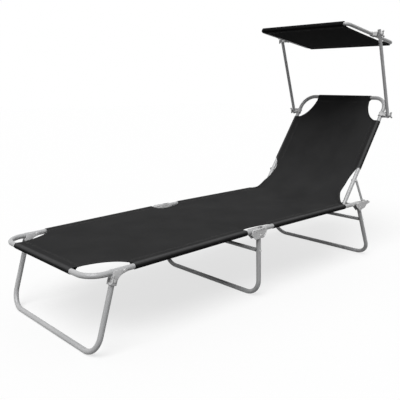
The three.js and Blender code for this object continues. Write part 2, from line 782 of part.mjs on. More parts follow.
function canopyFabric() {
  const shape = new THREE.Shape();
  const waist = canopySleeve - canopyEdgeBow * 2;
  const middle = (canopyRear - canopyFront) / 2;
  shape.moveTo(-canopyFront, -canopySleeve);
  shape.quadraticCurveTo(middle, -waist, canopyRear, -canopySleeve);
  shape.lineTo(canopyRear, canopySleeve);
  shape.quadraticCurveTo(middle, waist, -canopyFront, canopySleeve);
  const drop = sleeveOuter(slimRadius) * Math.cos(Math.PI / tubeSides) - panelThickness / 2;
  let panel = flatPanel(shape, panelThickness).translate([0, 0, -drop]);
  for (const x of [-canopyFront, canopyRear]) {
    const ends = [[x, -canopySleeve, 0], [x, canopySleeve, 0]];
    const whole = [[x, -halfBack, 0], [x, halfBack, 0]];
    panel = panel.add(sleeve(...ends, slimRadius)).subtract(sleeveBore(...whole, slimRadius));
  }
  return panel;
}

// Wing knobs: a stud through the arm, a round hub and two wings
function knob(side) {
  const face = armPlace + slimRadius + play;
  const hubEnd = face + knobHubLength;
  const studEnd = halfBack + clampBoss - studLength;
  const hub = crossPin(knobHubRadius, side * face, side * hubEnd, 0, 0, tubeSides);
  const stud = crossPin(studRadius, side * studEnd, side * (face + play), 0, 0);
  const root = knobWingSpan * knobWingRootShare;
  const wing = new THREE.Shape([[-root, face], [root, face], [knobWingSpan, face + knobWingReach - root],
    [knobWingSpan, face + knobWingReach], [root, face + knobWingReach - root], [0, hubEnd],
    [-root, face + knobWingReach - root], [-knobWingSpan, face + knobWingReach],
    [-knobWingSpan, face + knobWingReach - root]].map(([x, y]) => new THREE.Vector2(x, side * y)));
  return hub.add(stud).add(flatPanel(wing, knobWingThickness).rotate([0, knobWingTurn, 0]));
}

function addKnobs() {
  for (const [word, side] of Object.entries(sides)) {
    const low = turnedGroup(model, clampCentre, -radians(armLean));
    addMesh(low, `arm_knob_${word}`, knob(side), plastic);
    const high = turnedGroup(model, armTop, -radians(armLean));
    addMesh(high, `canopy_knob_${word}`, knob(side), plastic);
  }
}

addFootSection();
addLeg('front_leg', frontLeg, false);
addSeat();
addLeg('middle_leg', middleLeg, true);
addLeg('rear_leg', rearLeg, true);
addBackrest();
addProps();
addArms();
addCanopy();
addKnobs();

// The origin goes to the middle of the whole object's box, on the ground.
const extent = new THREE.Box3().setFromObject(model, true);
model.position.x = -(extent.min.x + extent.max.x) / 2;
const group = new THREE.Group();
group.add(model);

export default group;
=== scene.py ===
"""Looks of a folding sun lounger with a tilting canopy, built round its frame. Lengths are metres."""
import json
from dataclasses import dataclass
from itertools import groupby, product
from math import acos, asin, atan2, ceil, copysign, cos, dist, hypot, pi, radians, sin, sqrt, tan, tau

import bmesh
import bpy
from mathutils import Matrix, Vector

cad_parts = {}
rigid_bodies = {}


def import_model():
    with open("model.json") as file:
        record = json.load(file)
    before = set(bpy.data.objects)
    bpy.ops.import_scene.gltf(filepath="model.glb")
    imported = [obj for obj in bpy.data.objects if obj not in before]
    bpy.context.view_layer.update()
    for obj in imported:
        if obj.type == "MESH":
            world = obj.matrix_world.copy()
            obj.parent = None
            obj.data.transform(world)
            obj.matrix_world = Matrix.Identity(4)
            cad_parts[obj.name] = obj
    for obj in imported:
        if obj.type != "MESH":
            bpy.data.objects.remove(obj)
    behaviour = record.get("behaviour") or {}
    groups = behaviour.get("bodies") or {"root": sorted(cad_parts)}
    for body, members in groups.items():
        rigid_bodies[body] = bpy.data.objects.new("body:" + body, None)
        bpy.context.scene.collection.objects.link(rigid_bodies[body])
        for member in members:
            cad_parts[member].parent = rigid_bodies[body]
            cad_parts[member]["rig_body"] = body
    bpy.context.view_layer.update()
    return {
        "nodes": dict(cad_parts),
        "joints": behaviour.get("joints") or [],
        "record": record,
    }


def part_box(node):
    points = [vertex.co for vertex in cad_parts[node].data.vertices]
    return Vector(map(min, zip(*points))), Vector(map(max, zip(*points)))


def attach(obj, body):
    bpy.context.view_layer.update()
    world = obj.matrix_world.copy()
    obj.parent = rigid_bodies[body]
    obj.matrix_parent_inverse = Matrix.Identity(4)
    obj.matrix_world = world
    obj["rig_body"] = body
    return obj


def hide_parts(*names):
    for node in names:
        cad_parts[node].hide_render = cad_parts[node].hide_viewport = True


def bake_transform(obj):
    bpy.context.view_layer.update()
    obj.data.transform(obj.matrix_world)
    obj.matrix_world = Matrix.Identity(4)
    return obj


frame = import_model()

SIDES = {"left": -1, "right": 1}
WAYS = (-1, 1)
UP = Vector((0, 0, 1))

# Tubes
TUBE_RADIUS = 0.0087
TUBE_WALL = 0.0012
SLIM_RADIUS = 0.00725
SLIM_WALL = 0.0011
BEND_RADIUS = 0.062
CANOPY_BEND_RADIUS = 0.025
END_ROUND = 0.0004

# Half widths, from the middle plane to a tube's centre
RAIL_HALF = 0.269
BACK_HALF = 0.231
ARM_HALF = 0.2638

# Runs and turns of the frame, as it is driven
FOOT_LENGTH = 0.688
FOOT_SLOPE = radians(1.05)
SEAT_LENGTH = 0.634
BACK_LENGTH = 0.549
BACK_ANGLE = radians(54.7)
END_REACH = 0.014
BACK_END_REACH = 0.011
LEG_TOP_REACH = 0.006
REST_HEIGHT = 0.00869
CROSSBAR_DROP = 0.0785
ARM_LENGTH = 0.365
ARM_LEAN = radians(18.3)
ARM_FOOT_REACH = 0.011
ARM_TOP_REACH = 0.017
CANOPY_FRONT = 0.202
CANOPY_REAR = 0.177
CANOPY_SLOPE = radians(9.1)
CANOPY_SEAM = 0.00015

# Rivets, pins and bolts
DOME_SHARES = ((0.0, 1.0), (0.45, 0.93), (0.78, 0.68), (0.96, 0.3), (1.0, 0.0))
SHANK_RADIUS = 0.0025
SHANK_ROUND = 0.0006
HEAD_HEIGHT = 0.0022

# Caps and plugs of the tubes' ends
CAP_PLAY = 0.0002
CAP_LIP = 0.0023
CAP_DEPTH = 0.006
CAP_DOME_SHARES = ((0, 1), (0.6, 0.93), (0.88, 0.7), (1, 0.3))
CAP_HOLLOW_SHARE = 0.8
CAP_FLOOR_SHARE = 0.5

# Spacers on the backrest's bolts, and the props' washers
SPACER_RADIUS = 0.007
SPACER_SHARES = ((0, 0), (0.93, 0), (1, 0.0375), (1, 0.125), (0.84, 0.1875))
WASHER_RADIUS = 0.0052
WASHER_INNER_SHARE = 0.95
PROP_PLACE = 0.116
PROP_INNER = 0.242

# Clamps
FIT = 0.0003
CLAMP_PLACE = 0.460
CLAMP_HALF = 0.010
CLAMP_WALL = 0.003
CLAMP_BOSS = 0.025
CLAMP_BOSS_HALF = 0.0085
CLAMP_ROUND = 0.0018
CLAMP_FLANGE = 0.0026
CLAMP_INSET = 0.0007

# Wing knobs
KNOB_FACE = 0.2716
KNOB_VOXEL = 0.0006
KNOB_SMOOTHINGS = 6
HUB_RADIUS = 0.009
HUB_LENGTH = 0.008
HUB_SHARES = ((0, 0), (0.96, 0), (1, 0.12), (0.86, 0.86), (0.7, 1), (0, 1))
WING_SPAN = 0.015
WING_REACH = 0.014
WING_HALF = 0.0024
WING_SHARES = ((0, 0.5), (0.3, 0.62), (0.5, 0.9), (0.72, 1), (0.92, 0.93), (1, 0.74), (0.9, 0.52),
               (0.66, 0.3), (0.4, 0.02))
STUD_RADIUS = 0.003
STUD_START = 0.2515
STUD_TIP_SHARE = 0.8
STUD_TAPER_SHARE = 0.3

# Pressed plates and their ribs
PLATE_ROUND = 0.0005
SHEET = 0.002
CHEEK_INNER = 0.009
CHEEK_OUTER = CHEEK_INNER + SHEET
STEM_REACH = 0.0098
STEM_DROP = 0.0135
WEB_GAP = 0.0063
GUSSET_REACH = 0.046
GUSSET_DEPTH = 0.0055
BRACKET_TOP = 0.005
RIB_HALF = 0.0023
RIB_HEIGHT = 0.0019
RIB_SHARES = ((-1, -0.3), (-0.5, 0.7), (0, 1), (0.5, 0.7), (1, -0.3))
RIB_INSET = 0.0034
RIB_CORNER = 0.002
RIB_START = 0.013
RIB_TURN = 0.009
RIB_SLANT = 0.012

# Fabric
CLOTH = 0.0011
CUT_ALLOWANCE = 1.02
SLEEVE_RADIUS = 0.0097
SLIM_SLEEVE_RADIUS = 0.0098
SEAT_RISE = 0.008
BACK_RISE = 0.003
CANOPY_DROP = 0.0075
UNDERLAP = 0.0013
STITCH_REACH = 0.022
HEM_REACH = 0.010
FOOT_CUT = 0.155
FOOT_BAR_HALF = 0.175
HINGE_CUT_FRONT = 0.045
HINGE_CUT_REAR = 0.100
HINGE_CUT_DEPTH = 0.038
HINGE_DIP = 0.007
SPLIT = 0.300
BACK_SLEEVE_START = 0.176
BACK_CUT = 0.126
BACK_BAR_HALF = 0.145
CANOPY_SLEEVE_HALF = 0.215
CANOPY_BOW = 0.004
HOLD_START_SHARE = 0.45
DIP_START_SHARE = 0.6

# The free bridge of fabric between the seat and the backrest
SEAT_SLEEVE_END = 0.574
BRIDGE = 0.174
BRIDGE_RADIUS = BRIDGE / tan(BACK_ANGLE / 2)
BRIDGE_ARC = BRIDGE_RADIUS * BACK_ANGLE
WAIST_LOW_HALF = 0.216
WAIST_HIGH_HALF = 0.205
WAIST_START = 0.095
WAIST_END = 0.080
WAIST_START_POWER = 3.0
WAIST_END_POWER = 2.2
NARROWING_SHARES = (0.125, 0.75)
HOLD_SHARES = (0, 0.3)
FALL_SHARES = (0, 0.25)
CLIMB_SHARES = (0.6, 1)

# Hems and stitches
HEM_WIDTH = 0.009
HEM_HALF = 0.0012
HEM_SECTION = [(-0.0006, 0), (-0.0002, 0.75), (0.0006, 1), (HEM_WIDTH - 0.0008, 1), (HEM_WIDTH, 0.4)]
HEM_WEAVE_START = 2.0
HEM_SEAM_INSET = 0.002
SEAM_INSETS = (0.003, 0.009)
BAR_SEAM_REACH = 0.002
SLING_FACES = (CLOTH / 2, -UNDERLAP - CLOTH / 2)
CANOPY_FACES = (UNDERLAP + CLOTH / 2, -CLOTH / 2)
STITCH_LENGTH = 0.0030
STITCH_PITCH = 0.0044
STITCH_RADIUS = 0.00034
STITCH_SHARES = ((0.0, 0.35, -0.3), (0.2, 1, 0.5), (0.8, 1, 0.5), (1.0, 0.35, -0.3))

# How fine the meshes are
TUBE_SIDES = 32
TURNED_SIDES = 28
STITCH_SIDES = 6
BEND_STEPS = 14
CLAMP_TURN = 0.2
CLAMP_CORNER_TURN = 0.5
WRAP_TURN = 0.24
CUT_TURN = 0.085
ROW_STEP = 0.03
HINGE_STEP = 0.006
ARC_STEP = 0.012
WAIST_STEP = 0.008
SLEEVE_STEP = 0.0045
INNER_COLUMNS = 16
CANOPY_STEP = 0.02
CANOPY_HEM_STEP = 0.012
CANOPY_COLUMNS = 24
GUSSET_STEP_SHARE = 0.1
PLATE_SEGMENTS = 2
WELD = 0.00002
EDGE_SHARP = radians(38)
CLOTH_SHARP = radians(60)
PLATE_CORNER = radians(50)
PLATE_SHARP = radians(30)

# Finishes of noise. Noise is given as its scale and detail, bumps as their strength and depth too.
CLOUD_SHARES = (0.3, 0.7)
COAT_GLOSS = (60, 4, 0.20, 0.28)
COAT_BUMPS = (1100, 2, 0.25, 0.00008)
PLASTIC_GLOSS = (220, 2, 0.42, 0.56)
PLASTIC_BUMPS = (1600, 2, 0.3, 0.0001)
FINISHES = {
    "steel_tube_coat": ((9, 3, (0.45, 0.455, 0.46), (0.52, 0.52, 0.525)), COAT_GLOSS, COAT_BUMPS),
    "bracket_coat": ((9, 3, (0.68, 0.68, 0.685), (0.77, 0.77, 0.775)), COAT_GLOSS, COAT_BUMPS),
    "rivet_steel": ((300, 4, 0.34, 0.48), (160, 3, 0.40, 0.55), (900, 3, 0.2, 0.00006)),
    "grey_plastic_grain": ((40, 3, 0.60, 0.68), PLASTIC_GLOSS, PLASTIC_BUMPS),
    "cap_grain": ((40, 3, 0.16, 0.20), PLASTIC_GLOSS, PLASTIC_BUMPS),
    "sewing_thread": ((500, 2, 0.03, 0.06), 0.6, (2500, 2, 0.4, 0.0001)),
}
METALS = ("rivet_steel",)

# Scuffs of the coat: specks of noise, most of them near the ground
SCUFFED = ("steel_tube_coat", "bracket_coat")
SCUFF_NOISE = (260, 5)
SCUFF_STOPS = [(0.66, 0.0), (0.72, 1.0)]
SCUFF_HEIGHTS = [(0.004, 0.8), (0.03, 0.12)]
SCUFF_COLOUR = (0.16, 0.16, 0.165, 1)

# Weave of the fabric, and painted light on its raised sleeves: a painted highlight on their crowns and
# painted shade under them, across the rails and along to the end bar
WEAVE_PITCH = 0.0011
WEAVE_NOISE = (7, 4)
WEAVE_SHADES = [(0.0, 0.82), (1.0, 1.08)]
WEAVE_BUMPS = (0.35, 0.0002)
WEAVE_LOOK = {"Roughness": 0.9, "Specular IOR Level": 0.02, "Sheen Weight": 0.01, "Sheen Roughness": 0.5}
# The sling's colours are twice the cloth's own: the sleeves' painted-light ramp halves them over the panel
# and raises or lowers them on the sleeves
SLING_COLOURS = ((0.056, 0.056, 0.057), (0.072, 0.072, 0.073))
# The canopy's cloth is the sling's cloth painted darker: painted shade for its underside, which is the side
# that is seen
CANOPY_PAINTED_SHADE_COLOURS = ((0.012, 0.012, 0.0125), (0.015, 0.015, 0.0155))
# Painted light across the rails' sleeves: the panel at half colour, a painted highlight on each crown,
# painted shade underneath
RAIL_SLEEVE_PAINTED_LIGHT = [(RAIL_HALF - 0.006, 0.5), (RAIL_HALF - 0.001, 1.2), (RAIL_HALF + 0.006, 1.2),
          (RAIL_HALF + 0.011, 0.26)]
# Painted light along to the foot's end bar: painted shade under the bar, a painted highlight on its crown,
# then the panel as it is
BAR_SHIFT = 0.1
BAR_SLEEVE_PAINTED_LIGHT = [(BAR_SHIFT - 0.014, 0.5), (BAR_SHIFT - 0.009, 2.2), (BAR_SHIFT - 0.002, 2.2),
              (BAR_SHIFT + 0.004, 1.0)]

# Stage
CAMERA_PLACE = (-1.592118, -1.54752, 0.78374)
CAMERA_YAW = radians(47.044)
CAMERA_PITCH = radians(11.968)
CAMERA_LENS = 50.086
SENSOR = 36.0
WHITE = (1, 1, 1, 1)
FLOOR_HALF = 14.0
FLOOR_GREY = 0.30
FLOOR_BOUNCE = 0.09
FLOOR_LIFT = 0.71
FLOOR_LOOK = {"Roughness": 0.9, "Specular IOR Level": 0.0, "Emission Color": WHITE}
HORIZON = 0.17
ZENITH = 0.31
ZENITH_START = 0.6
LAMPS = {"key": ((0.47, 0.26, -0.84), 2.4, 40), "fill": ((0.40, 0.86, -0.36), 0.14, 30)}

PLACES = {joint["name"]: Vector(joint["pos_m"]) for joint in frame["joints"]}
GROUND = {mount["name"]: Vector(mount["pos_m"]) for mount in frame["record"]["mounts"]}


def turned(place, turn):
    """A local frame in the side view: its origin at a place, turned about the Y axis."""
    return Matrix.Translation((place.x, 0, place.z)) @ Matrix.Rotation(turn, 4, "Y")


FOOT = turned(PLACES["foot_fold"], -FOOT_SLOPE)
SEAT = turned(PLACES["foot_fold"], 0)
BACK = turned(PLACES["backrest_tilt"], -BACK_ANGLE)
ARMS = turned(PLACES["arms_swing"], -ARM_LEAN)
CANOPY = turned(PLACES["canopy_tilt"], CANOPY_SLOPE)


# Small sums

def smooth(value, start=0, end=1):
    """0 before the start, 1 after the end, and a soft step between."""
    share = min(max((value - start) / (end - start), 0.0), 1.0)
    return share * share * (3 - 2 * share)


def spaced(low, high, step):
    """Evenly spaced values from low to high, both ends included."""
    count = max(1, ceil(abs(high - low) / step))
    return [low + (high - low) * i / count for i in range(count + 1)]


def full_turn(sides):
    return [tau * k / sides for k in range(sides)]


def round_points(radius, turns):
    return [(radius * cos(turn), radius * sin(turn)) for turn in turns]


def ring_points(centre, side, other, radius, sides):
    """Points round a centre, in the plane of two directions."""
    return [centre + (side * cos(turn) + other * sin(turn)) * radius for turn in full_turn(sides)]


def along(x):
    """A shift along a local frame's X axis."""
    return Matrix.Translation((x, 0, 0))


def aimed(place, direction):
    """A frame at a place whose Y axis points along a direction."""
    turn = Vector((0, 1, 0)).rotation_difference(direction)
    return Matrix.Translation(place) @ turn.to_matrix().to_4x4()


def step_at(points, k):
    """The step from the point before to the point after."""
    return points[min(k + 1, len(points) - 1)] - points[max(k - 1, 0)]


def section_lengths(points):
    total = [0.0]
    for before, after in zip(points, points[1:]):
        total.append(total[-1] + dist(before, after))
    return total


# Materials

class Surface:
    """The nodes of a material or the world, with the few kinds that they need."""

    def __init__(self, owner, shader):
        owner.use_nodes = True
        self.nodes, self.links = owner.node_tree.nodes, owner.node_tree.links
        self.shader = self.nodes[shader]

    def put(self, entry, value):
        """Gives a socket a value, or another node's result."""
        if isinstance(value, bpy.types.NodeSocket):
            self.links.new(value, entry)
        else:
            entry.default_value = value

    def fill(self, node, values):
        for name, value in values.items():
            self.put(node.inputs[name], value)

    def made(self, kind, values=None, **settings):
        node = self.nodes.new(f"ShaderNode{kind}")
        for name, setting in settings.items():
            setattr(node, name, setting)
        self.fill(node, values or {})
        return node

    def sum(self, operation, *values):
        return self.made("Math", dict(enumerate(values)), operation=operation).outputs[0]

    def split(self, vector):
        return self.made("SeparateXYZ", {"Vector": vector}).outputs

    def noise(self, where, scale, detail):
        return self.made("TexNoise", {"Scale": scale, "Detail": detail, "Vector": where}).outputs["Fac"]

    def ramp(self, source, stops):
        """Turns a value into a colour; the stops are pairs of a place and a grey or a colour."""
        node = self.made("ValToRGB", {"Fac": source})
        elements = node.color_ramp.elements
        for i, (place, colour) in enumerate(stops):
            element = elements[i] if i < 2 else elements.new(place)
            element.position = place
            element.color = (colour, colour, colour, 1) if isinstance(colour, float) else (*colour, 1)
        return node.outputs["Color"]

    def cloud(self, where, scale, detail, low, high):
        """Soft noise between two greys or colours."""
        return self.ramp(self.noise(where, scale, detail), list(zip(CLOUD_SHARES, (low, high))))

    def mixed(self, factor, first, second, blend="MIX"):
        """One colour laid over another; a colour is a socket or a value."""
        node = self.made("Mix", data_type="RGBA", blend_type=blend)
        entries = [entry for entry in node.inputs if entry.enabled]
        for entry, value in zip(entries, (factor, first, second)):
            self.put(entry, value)
        return next(result for result in node.outputs if result.enabled)

    def bumps(self, height, strength, depth):
        node = self.made("Bump", {"Strength": strength, "Distance": depth, "Height": height})
        self.fill(self.shader, {"Normal": node.outputs["Normal"]})

    def seen_directly(self):
        """1 where a camera, mirror or glass ray sees the surface, else 0."""
        rays = self.made("LightPath").outputs
        first = self.sum("MAXIMUM", rays["Is Camera Ray"], rays["Is Glossy Ray"])
        return self.sum("MAXIMUM", first, rays["Is Transmission Ray"])


def new_material(name):
    material = bpy.data.materials.new(name)
    return material, Surface(material, "Principled BSDF")


def finish(name, colour, roughness, bumps):
    """A coat, metal, plastic or thread whose colour, gloss and grain are soft noise."""
    material, surface = new_material(name)
    where = surface.made("TexCoord").outputs["Object"]
    paint = surface.cloud(where, *colour)
    if name in SCUFFED:
        paint = scuffed(surface, where, paint)
    if isinstance(roughness, tuple):
        roughness = surface.cloud(where, *roughness)
    metallic = float(name in METALS)
    surface.fill(surface.shader, {"Base Color": paint, "Roughness": roughness, "Metallic": metallic})
    scale, detail, strength, depth = bumps
    surface.bumps(surface.noise(where, scale, detail), strength, depth)
    return material


def scuffed(surface, where, paint):
    specks = surface.ramp(surface.noise(where, *SCUFF_NOISE), SCUFF_STOPS)
    low = surface.ramp(surface.split(where)["Z"], SCUFF_HEIGHTS)
    return surface.mixed(surface.sum("MULTIPLY", specks, low), paint, SCUFF_COLOUR)


def woven(name, dark, light, painted_sleeve_light=False):
    """Plain woven polyester: crossing threads, faint slubs and a soft sheen. When asked, the sleeves also
    get a painted highlight on their crowns and painted shade under them, with the panel at half the given
    colour.
    """
    material, surface = new_material(name)
    uv = surface.made("UVMap").outputs["UV"]
    across, length, _ = surface.split(uv)
    warp, weft = (surface.sum("SINE", surface.sum("MULTIPLY", way, pi / WEAVE_PITCH))
                  for way in (across, length))
    height = surface.sum("MULTIPLY_ADD", surface.sum("MULTIPLY", warp, weft), 0.5, 0.5)
    colour = surface.cloud(uv, *WEAVE_NOISE, dark, light)
    shades = [surface.ramp(height, WEAVE_SHADES)]
    # Painted light: one ramp across the rails paints a highlight on the sleeves' crowns and shade under
    # them, and one along the length does the same at the foot's end bar
    if painted_sleeve_light:
        shades.append(surface.ramp(surface.sum("ABSOLUTE", across), RAIL_SLEEVE_PAINTED_LIGHT))
        shades.append(surface.ramp(surface.sum("ADD", length, BAR_SHIFT), BAR_SLEEVE_PAINTED_LIGHT))
    for shade in shades:
        colour = surface.mixed(1.0, colour, shade, "MULTIPLY")
    surface.fill(surface.shader, {"Base Color": colour, **WEAVE_LOOK})
    surface.bumps(height, *WEAVE_BUMPS)
    return material


COAT, BRACKET_COAT, RIVET_STEEL, GREY_PLASTIC, CAP_PLASTIC, THREAD = (
    finish(name, *looks) for name, looks in FINISHES.items())
SLING_CLOTH = woven("sling_weave", *SLING_COLOURS, painted_sleeve_light=True)
# A darker copy of the sling's cloth, as painted shade
CANOPY_CLOTH = woven("canopy_weave", *CANOPY_PAINTED_SHADE_COLOURS)
SLOT_MATERIALS = {"steel_tube": COAT, "fabric": SLING_CLOTH, "rivets": RIVET_STEEL,
                  "grey_plastic": GREY_PLASTIC, "caps": CAP_PLASTIC}
SLOTS = {part["node"]: part["material_slot"] for part in frame["record"]["subparts"]}


def finish_of(node):
    bracket = "bracket" in node and "rivet" not in node
    return BRACKET_COAT if bracket else SLOT_MATERIALS[SLOTS[node]]


def dress_frame_nodes():
    for node, obj in frame["nodes"].items():
        for entry in obj.material_slots:
            entry.material = finish_of(node)


# Meshes

def shown(name, data):
    obj = bpy.data.objects.new(name, data)
    bpy.context.scene.collection.objects.link(obj)
    return obj


def link(name, mesh, material, sharp=EDGE_SHARP):
    mesh.materials.clear()
    mesh.materials.append(material)
    mesh.shade_smooth()
    mesh.set_sharp_from_angle(angle=sharp)
    return shown(name, mesh)


def linked(name, work, material, sharp=EDGE_SHARP):
    """Turns a bmesh into an object."""
    mesh = bpy.data.meshes.new(name)
    work.to_mesh(mesh)
    work.free()
    return link(name, mesh, material, sharp)


def face_out(work):
    bmesh.ops.recalc_face_normals(work, faces=work.faces)


def add_skin(work, rings, closed=False):
    """Faces over rings of points. It closes on itself, or a flat face or a ring of one point ends it."""
    sides = max(len(ring) for ring in rings)
    rows = [[work.verts.new(point) for point in ring] * (sides // len(ring)) for ring in rings]
    for ring, other in zip(rows, rows[1:] + rows[:1] if closed else rows[1:]):
        for k in range(sides):
            after = (k + 1) % sides
            work.faces.new(list(dict.fromkeys((ring[k], ring[after], other[after], other[k]))))
    ends = [] if closed else [rows[0][::-1], rows[-1]]
    for end in ends:
        if end[0] != end[1]:
            work.faces.new(end)


def loft(name, rings, material, closed=False):
    work = bmesh.new()
    add_skin(work, rings, closed)
    face_out(work)
    return linked(name, work, material)


def lathe(name, profile, local, material):
    """Turns (radius, along) points round the local Y axis; a radius of 0 closes an end."""
    rings = []
    for radius, y in profile:
        turns = full_turn(TURNED_SIDES) if radius else [0]
        rings.append([local @ Vector((x, y, z)) for x, z in round_points(radius, turns)])
    return loft(name, rings, material)


def bent_path(corners, bend):
    """Places and directions along straight runs that are joined by round square bends."""
    corners = [Vector(corner) for corner in corners]
    ways = [(after - before).normalized() for before, after in zip(corners, corners[1:])]
    path = [(corners[0], ways[0])]
    for corner, into, out in zip(corners[1:], ways, ways[1:]):
        centre = corner - into * bend + out * bend
        for step in range(BEND_STEPS + 1):
            turn = pi / 2 * step / BEND_STEPS
            place = centre - out * bend * cos(turn) + into * bend * sin(turn)
            path.append((place, into * cos(turn) + out * sin(turn)))
    return path + [(corners[-1], ways[-1])]


def tube(name, local, corners, radius, wall, bend):
    """A hollow tube with rounded ends along a bent path, in a local frame."""
    path = bent_path(corners, bend)
    (start, into), *middle, (end, out) = path
    skin = [(start, into, radius - END_ROUND), (start + into * END_ROUND, into, radius)]
    skin += [(place, way, radius) for place, way in middle]
    skin += [(end - out * END_ROUND, out, radius), (end, out, radius - END_ROUND)]
    skin += [(place, way, radius - wall) for place, way in reversed(path)]
    side = into.orthogonal().normalized()
    rings = []
    for place, way, size in skin:
        side = (side - way * side.dot(way)).normalized()
        points = ring_points(place, side, way.cross(side), size, TUBE_SIDES)
        rings.append([local @ point for point in points])
    return loft(name, rings, COAT, closed=True)


def joined(name, pieces):
    """Several meshes as one object."""
    work = bmesh.new()
    for piece in pieces:
        work.from_mesh(piece.data)
    material = pieces[0].data.materials[0]
    for piece in pieces:
        bpy.data.objects.remove(piece)
    return linked(name, work, material, CLOTH_SHARP)


def applied(obj):
    """Makes the modifiers' result the object's own mesh."""
    depsgraph = bpy.context.evaluated_depsgraph_get()
    mesh = bpy.data.meshes.new_from_object(obj.evaluated_get(depsgraph))
    obj.modifiers.clear()
    obj.data = mesh


def dressed(obj, body, slot, *nodes):
    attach(obj, body)
    if nodes:
        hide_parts(*nodes)


def body_of(node):
    return frame["nodes"][node]["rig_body"]


# Frames, legs, arms

def add_tube(node, body, local, corners, radius=TUBE_RADIUS, wall=TUBE_WALL, bend=BEND_RADIUS, word=""):
    """A round tube in the place of a solid one; a side's word comes last in both names."""
    ending = f"_{word}" if word else ""
    piece = tube(f"{node}_tube{ending}", local, corners, radius, wall, bend)
    dressed(piece, body, "steel_tube", f"{node}{ending}")


def hoop(half, start, end):
    """The corners of a square U: along one side, across its end and back."""
    return [(start, -half, 0), (end, -half, 0), (end, half, 0), (start, half, 0)]


def rail_ends(word, side):
    """The foot end and the head end of a seat rail's middle line."""
    low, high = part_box(f"seat_rail_{word}")
    return [Vector((x, side * RAIL_HALF, (low.z + high.z) / 2)) for x in (low.x, high.x)]


def add_frames():
    add_tube("foot_frame", "foot_section", FOOT, hoop(RAIL_HALF, END_REACH, -FOOT_LENGTH))
    for word, side in SIDES.items():
        add_tube("seat_rail", "seat", Matrix(), rail_ends(word, side), word=word)
    add_tube("back_frame", "backrest", BACK, hoop(BACK_HALF, -BACK_END_REACH, BACK_LENGTH))


def add_arms_and_canopy():
    for word, side in SIDES.items():
        corners = [(0, side * ARM_HALF, z) for z in (-ARM_FOOT_REACH, ARM_LENGTH + ARM_TOP_REACH)]
        add_tube("canopy_arm", "canopy_arms", ARMS, corners, SLIM_RADIUS, SLIM_WALL, word=word)
    around = hoop(BACK_HALF, -CANOPY_FRONT, CANOPY_REAR)[::-1]
    corners = [(-CANOPY_FRONT, CANOPY_SEAM, 0), *around, (-CANOPY_FRONT, -CANOPY_SEAM, 0)]
    add_tube("canopy_frame", "canopy", CANOPY, corners, SLIM_RADIUS, SLIM_WALL, CANOPY_BEND_RADIUS)


def add_legs():
    for name in ("front", "middle", "rear"):
        pin = PLACES[f"{name}_leg_fold"]
        spread = GROUND[f"{name}_ground"].x - pin.x
        drop = pin.z - REST_HEIGHT
        lean = atan2(spread, drop)
        depth = hypot(spread, drop)
        local = turned(pin, -lean)
        corners = [(0, y, z) for z, y, _ in hoop(RAIL_HALF, LEG_TOP_REACH, -depth)]
        add_tube(f"{name}_leg", f"{name}_leg", local, corners)
        if name != "front":
            low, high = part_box(f"{name}_leg_crossbar")
            depth = (pin.z - PLACES["foot_fold"].z + CROSSBAR_DROP) / cos(lean)
            corners = [(0, low.y, -depth), (0, high.y, -depth)]
            add_tube(f"{name}_leg_crossbar", f"{name}_leg", local, corners, SLIM_RADIUS, SLIM_WALL)


# Rivets, caps and spacers

def add_rivets():
    """Every rivet, pin and bolt of the frame gets domed heads on its own axis."""
    for node in frame["nodes"]:
        if not any(word in node for word in ("rivet", "_pin_", "bolt")):
            continue
        low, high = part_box(node)
        middle = (low + high) / 2
        head = (high.x - low.x) / 2
        side = 1 if middle.y > 0 else -1
        inner, outer = sorted((low.y, high.y), key=abs)
        profile = [(head * r, outer - side * HEAD_HEIGHT * (1 - h)) for r, h in DOME_SHARES]
        profile.append((SHANK_RADIUS, outer - side * HEAD_HEIGHT))
        if "leg_bolt" in node:
            profile += [(SHANK_RADIUS, inner + side * SHANK_ROUND), (SHANK_RADIUS - SHANK_ROUND, inner),
                        (0, inner)]
        else:
            profile.append((SHANK_RADIUS, inner + side * HEAD_HEIGHT))
            profile += [(head * r, inner + side * HEAD_HEIGHT * (1 - h)) for r, h in reversed(DOME_SHARES)]
        local = Matrix.Translation((middle.x, 0, middle.z))
        dressed(lathe(f"{node}_turned", profile, local, RIVET_STEEL), body_of(node), "rivets", node)


def cap_profile(radius, wall):
    """A domed plug: from the middle of its face, over the lip, into the tube's bore."""
    bore = radius - wall - CAP_PLAY
    hollow, floor = bore * CAP_HOLLOW_SHARE, -CAP_DEPTH * CAP_FLOOR_SHARE
    plug = [(radius, 0), (bore, 0), (bore, -CAP_DEPTH), (hollow, -CAP_DEPTH), (hollow, floor), (0, floor)]
    return [(radius * r, CAP_LIP * h) for r, h in CAP_DOME_SHARES] + plug


def add_cap(name, body, profile, place, way, *nodes):
    dressed(lathe(name, profile, aimed(place, Vector(way)), CAP_PLASTIC), body, "caps", *nodes)


def add_caps():
    thick, slim = cap_profile(TUBE_RADIUS, TUBE_WALL), cap_profile(SLIM_RADIUS, SLIM_WALL)
    for word, side in SIDES.items():
        end = rail_ends(word, side)[1]
        add_cap(f"seat_rail_plug_{word}", "seat", thick, end, (1, 0, 0), f"seat_rail_cap_{word}")
        end = BACK @ Vector((-BACK_END_REACH, side * BACK_HALF, 0))
        way = BACK.to_3x3() @ Vector((-1, 0, 0))
        add_cap(f"back_plug_{word}", "backrest", thick, end, way, f"back_cap_{word}")
        for place, name in ((-ARM_FOOT_REACH, "lower"), (ARM_LENGTH + ARM_TOP_REACH, "upper")):
            end = ARMS @ Vector((0, side * ARM_HALF, place))
            way = ARMS.to_3x3() @ Vector((0, 0, copysign(1, place)))
            add_cap(f"arm_plug_{name}_{word}", "canopy_arms", slim, end, way)


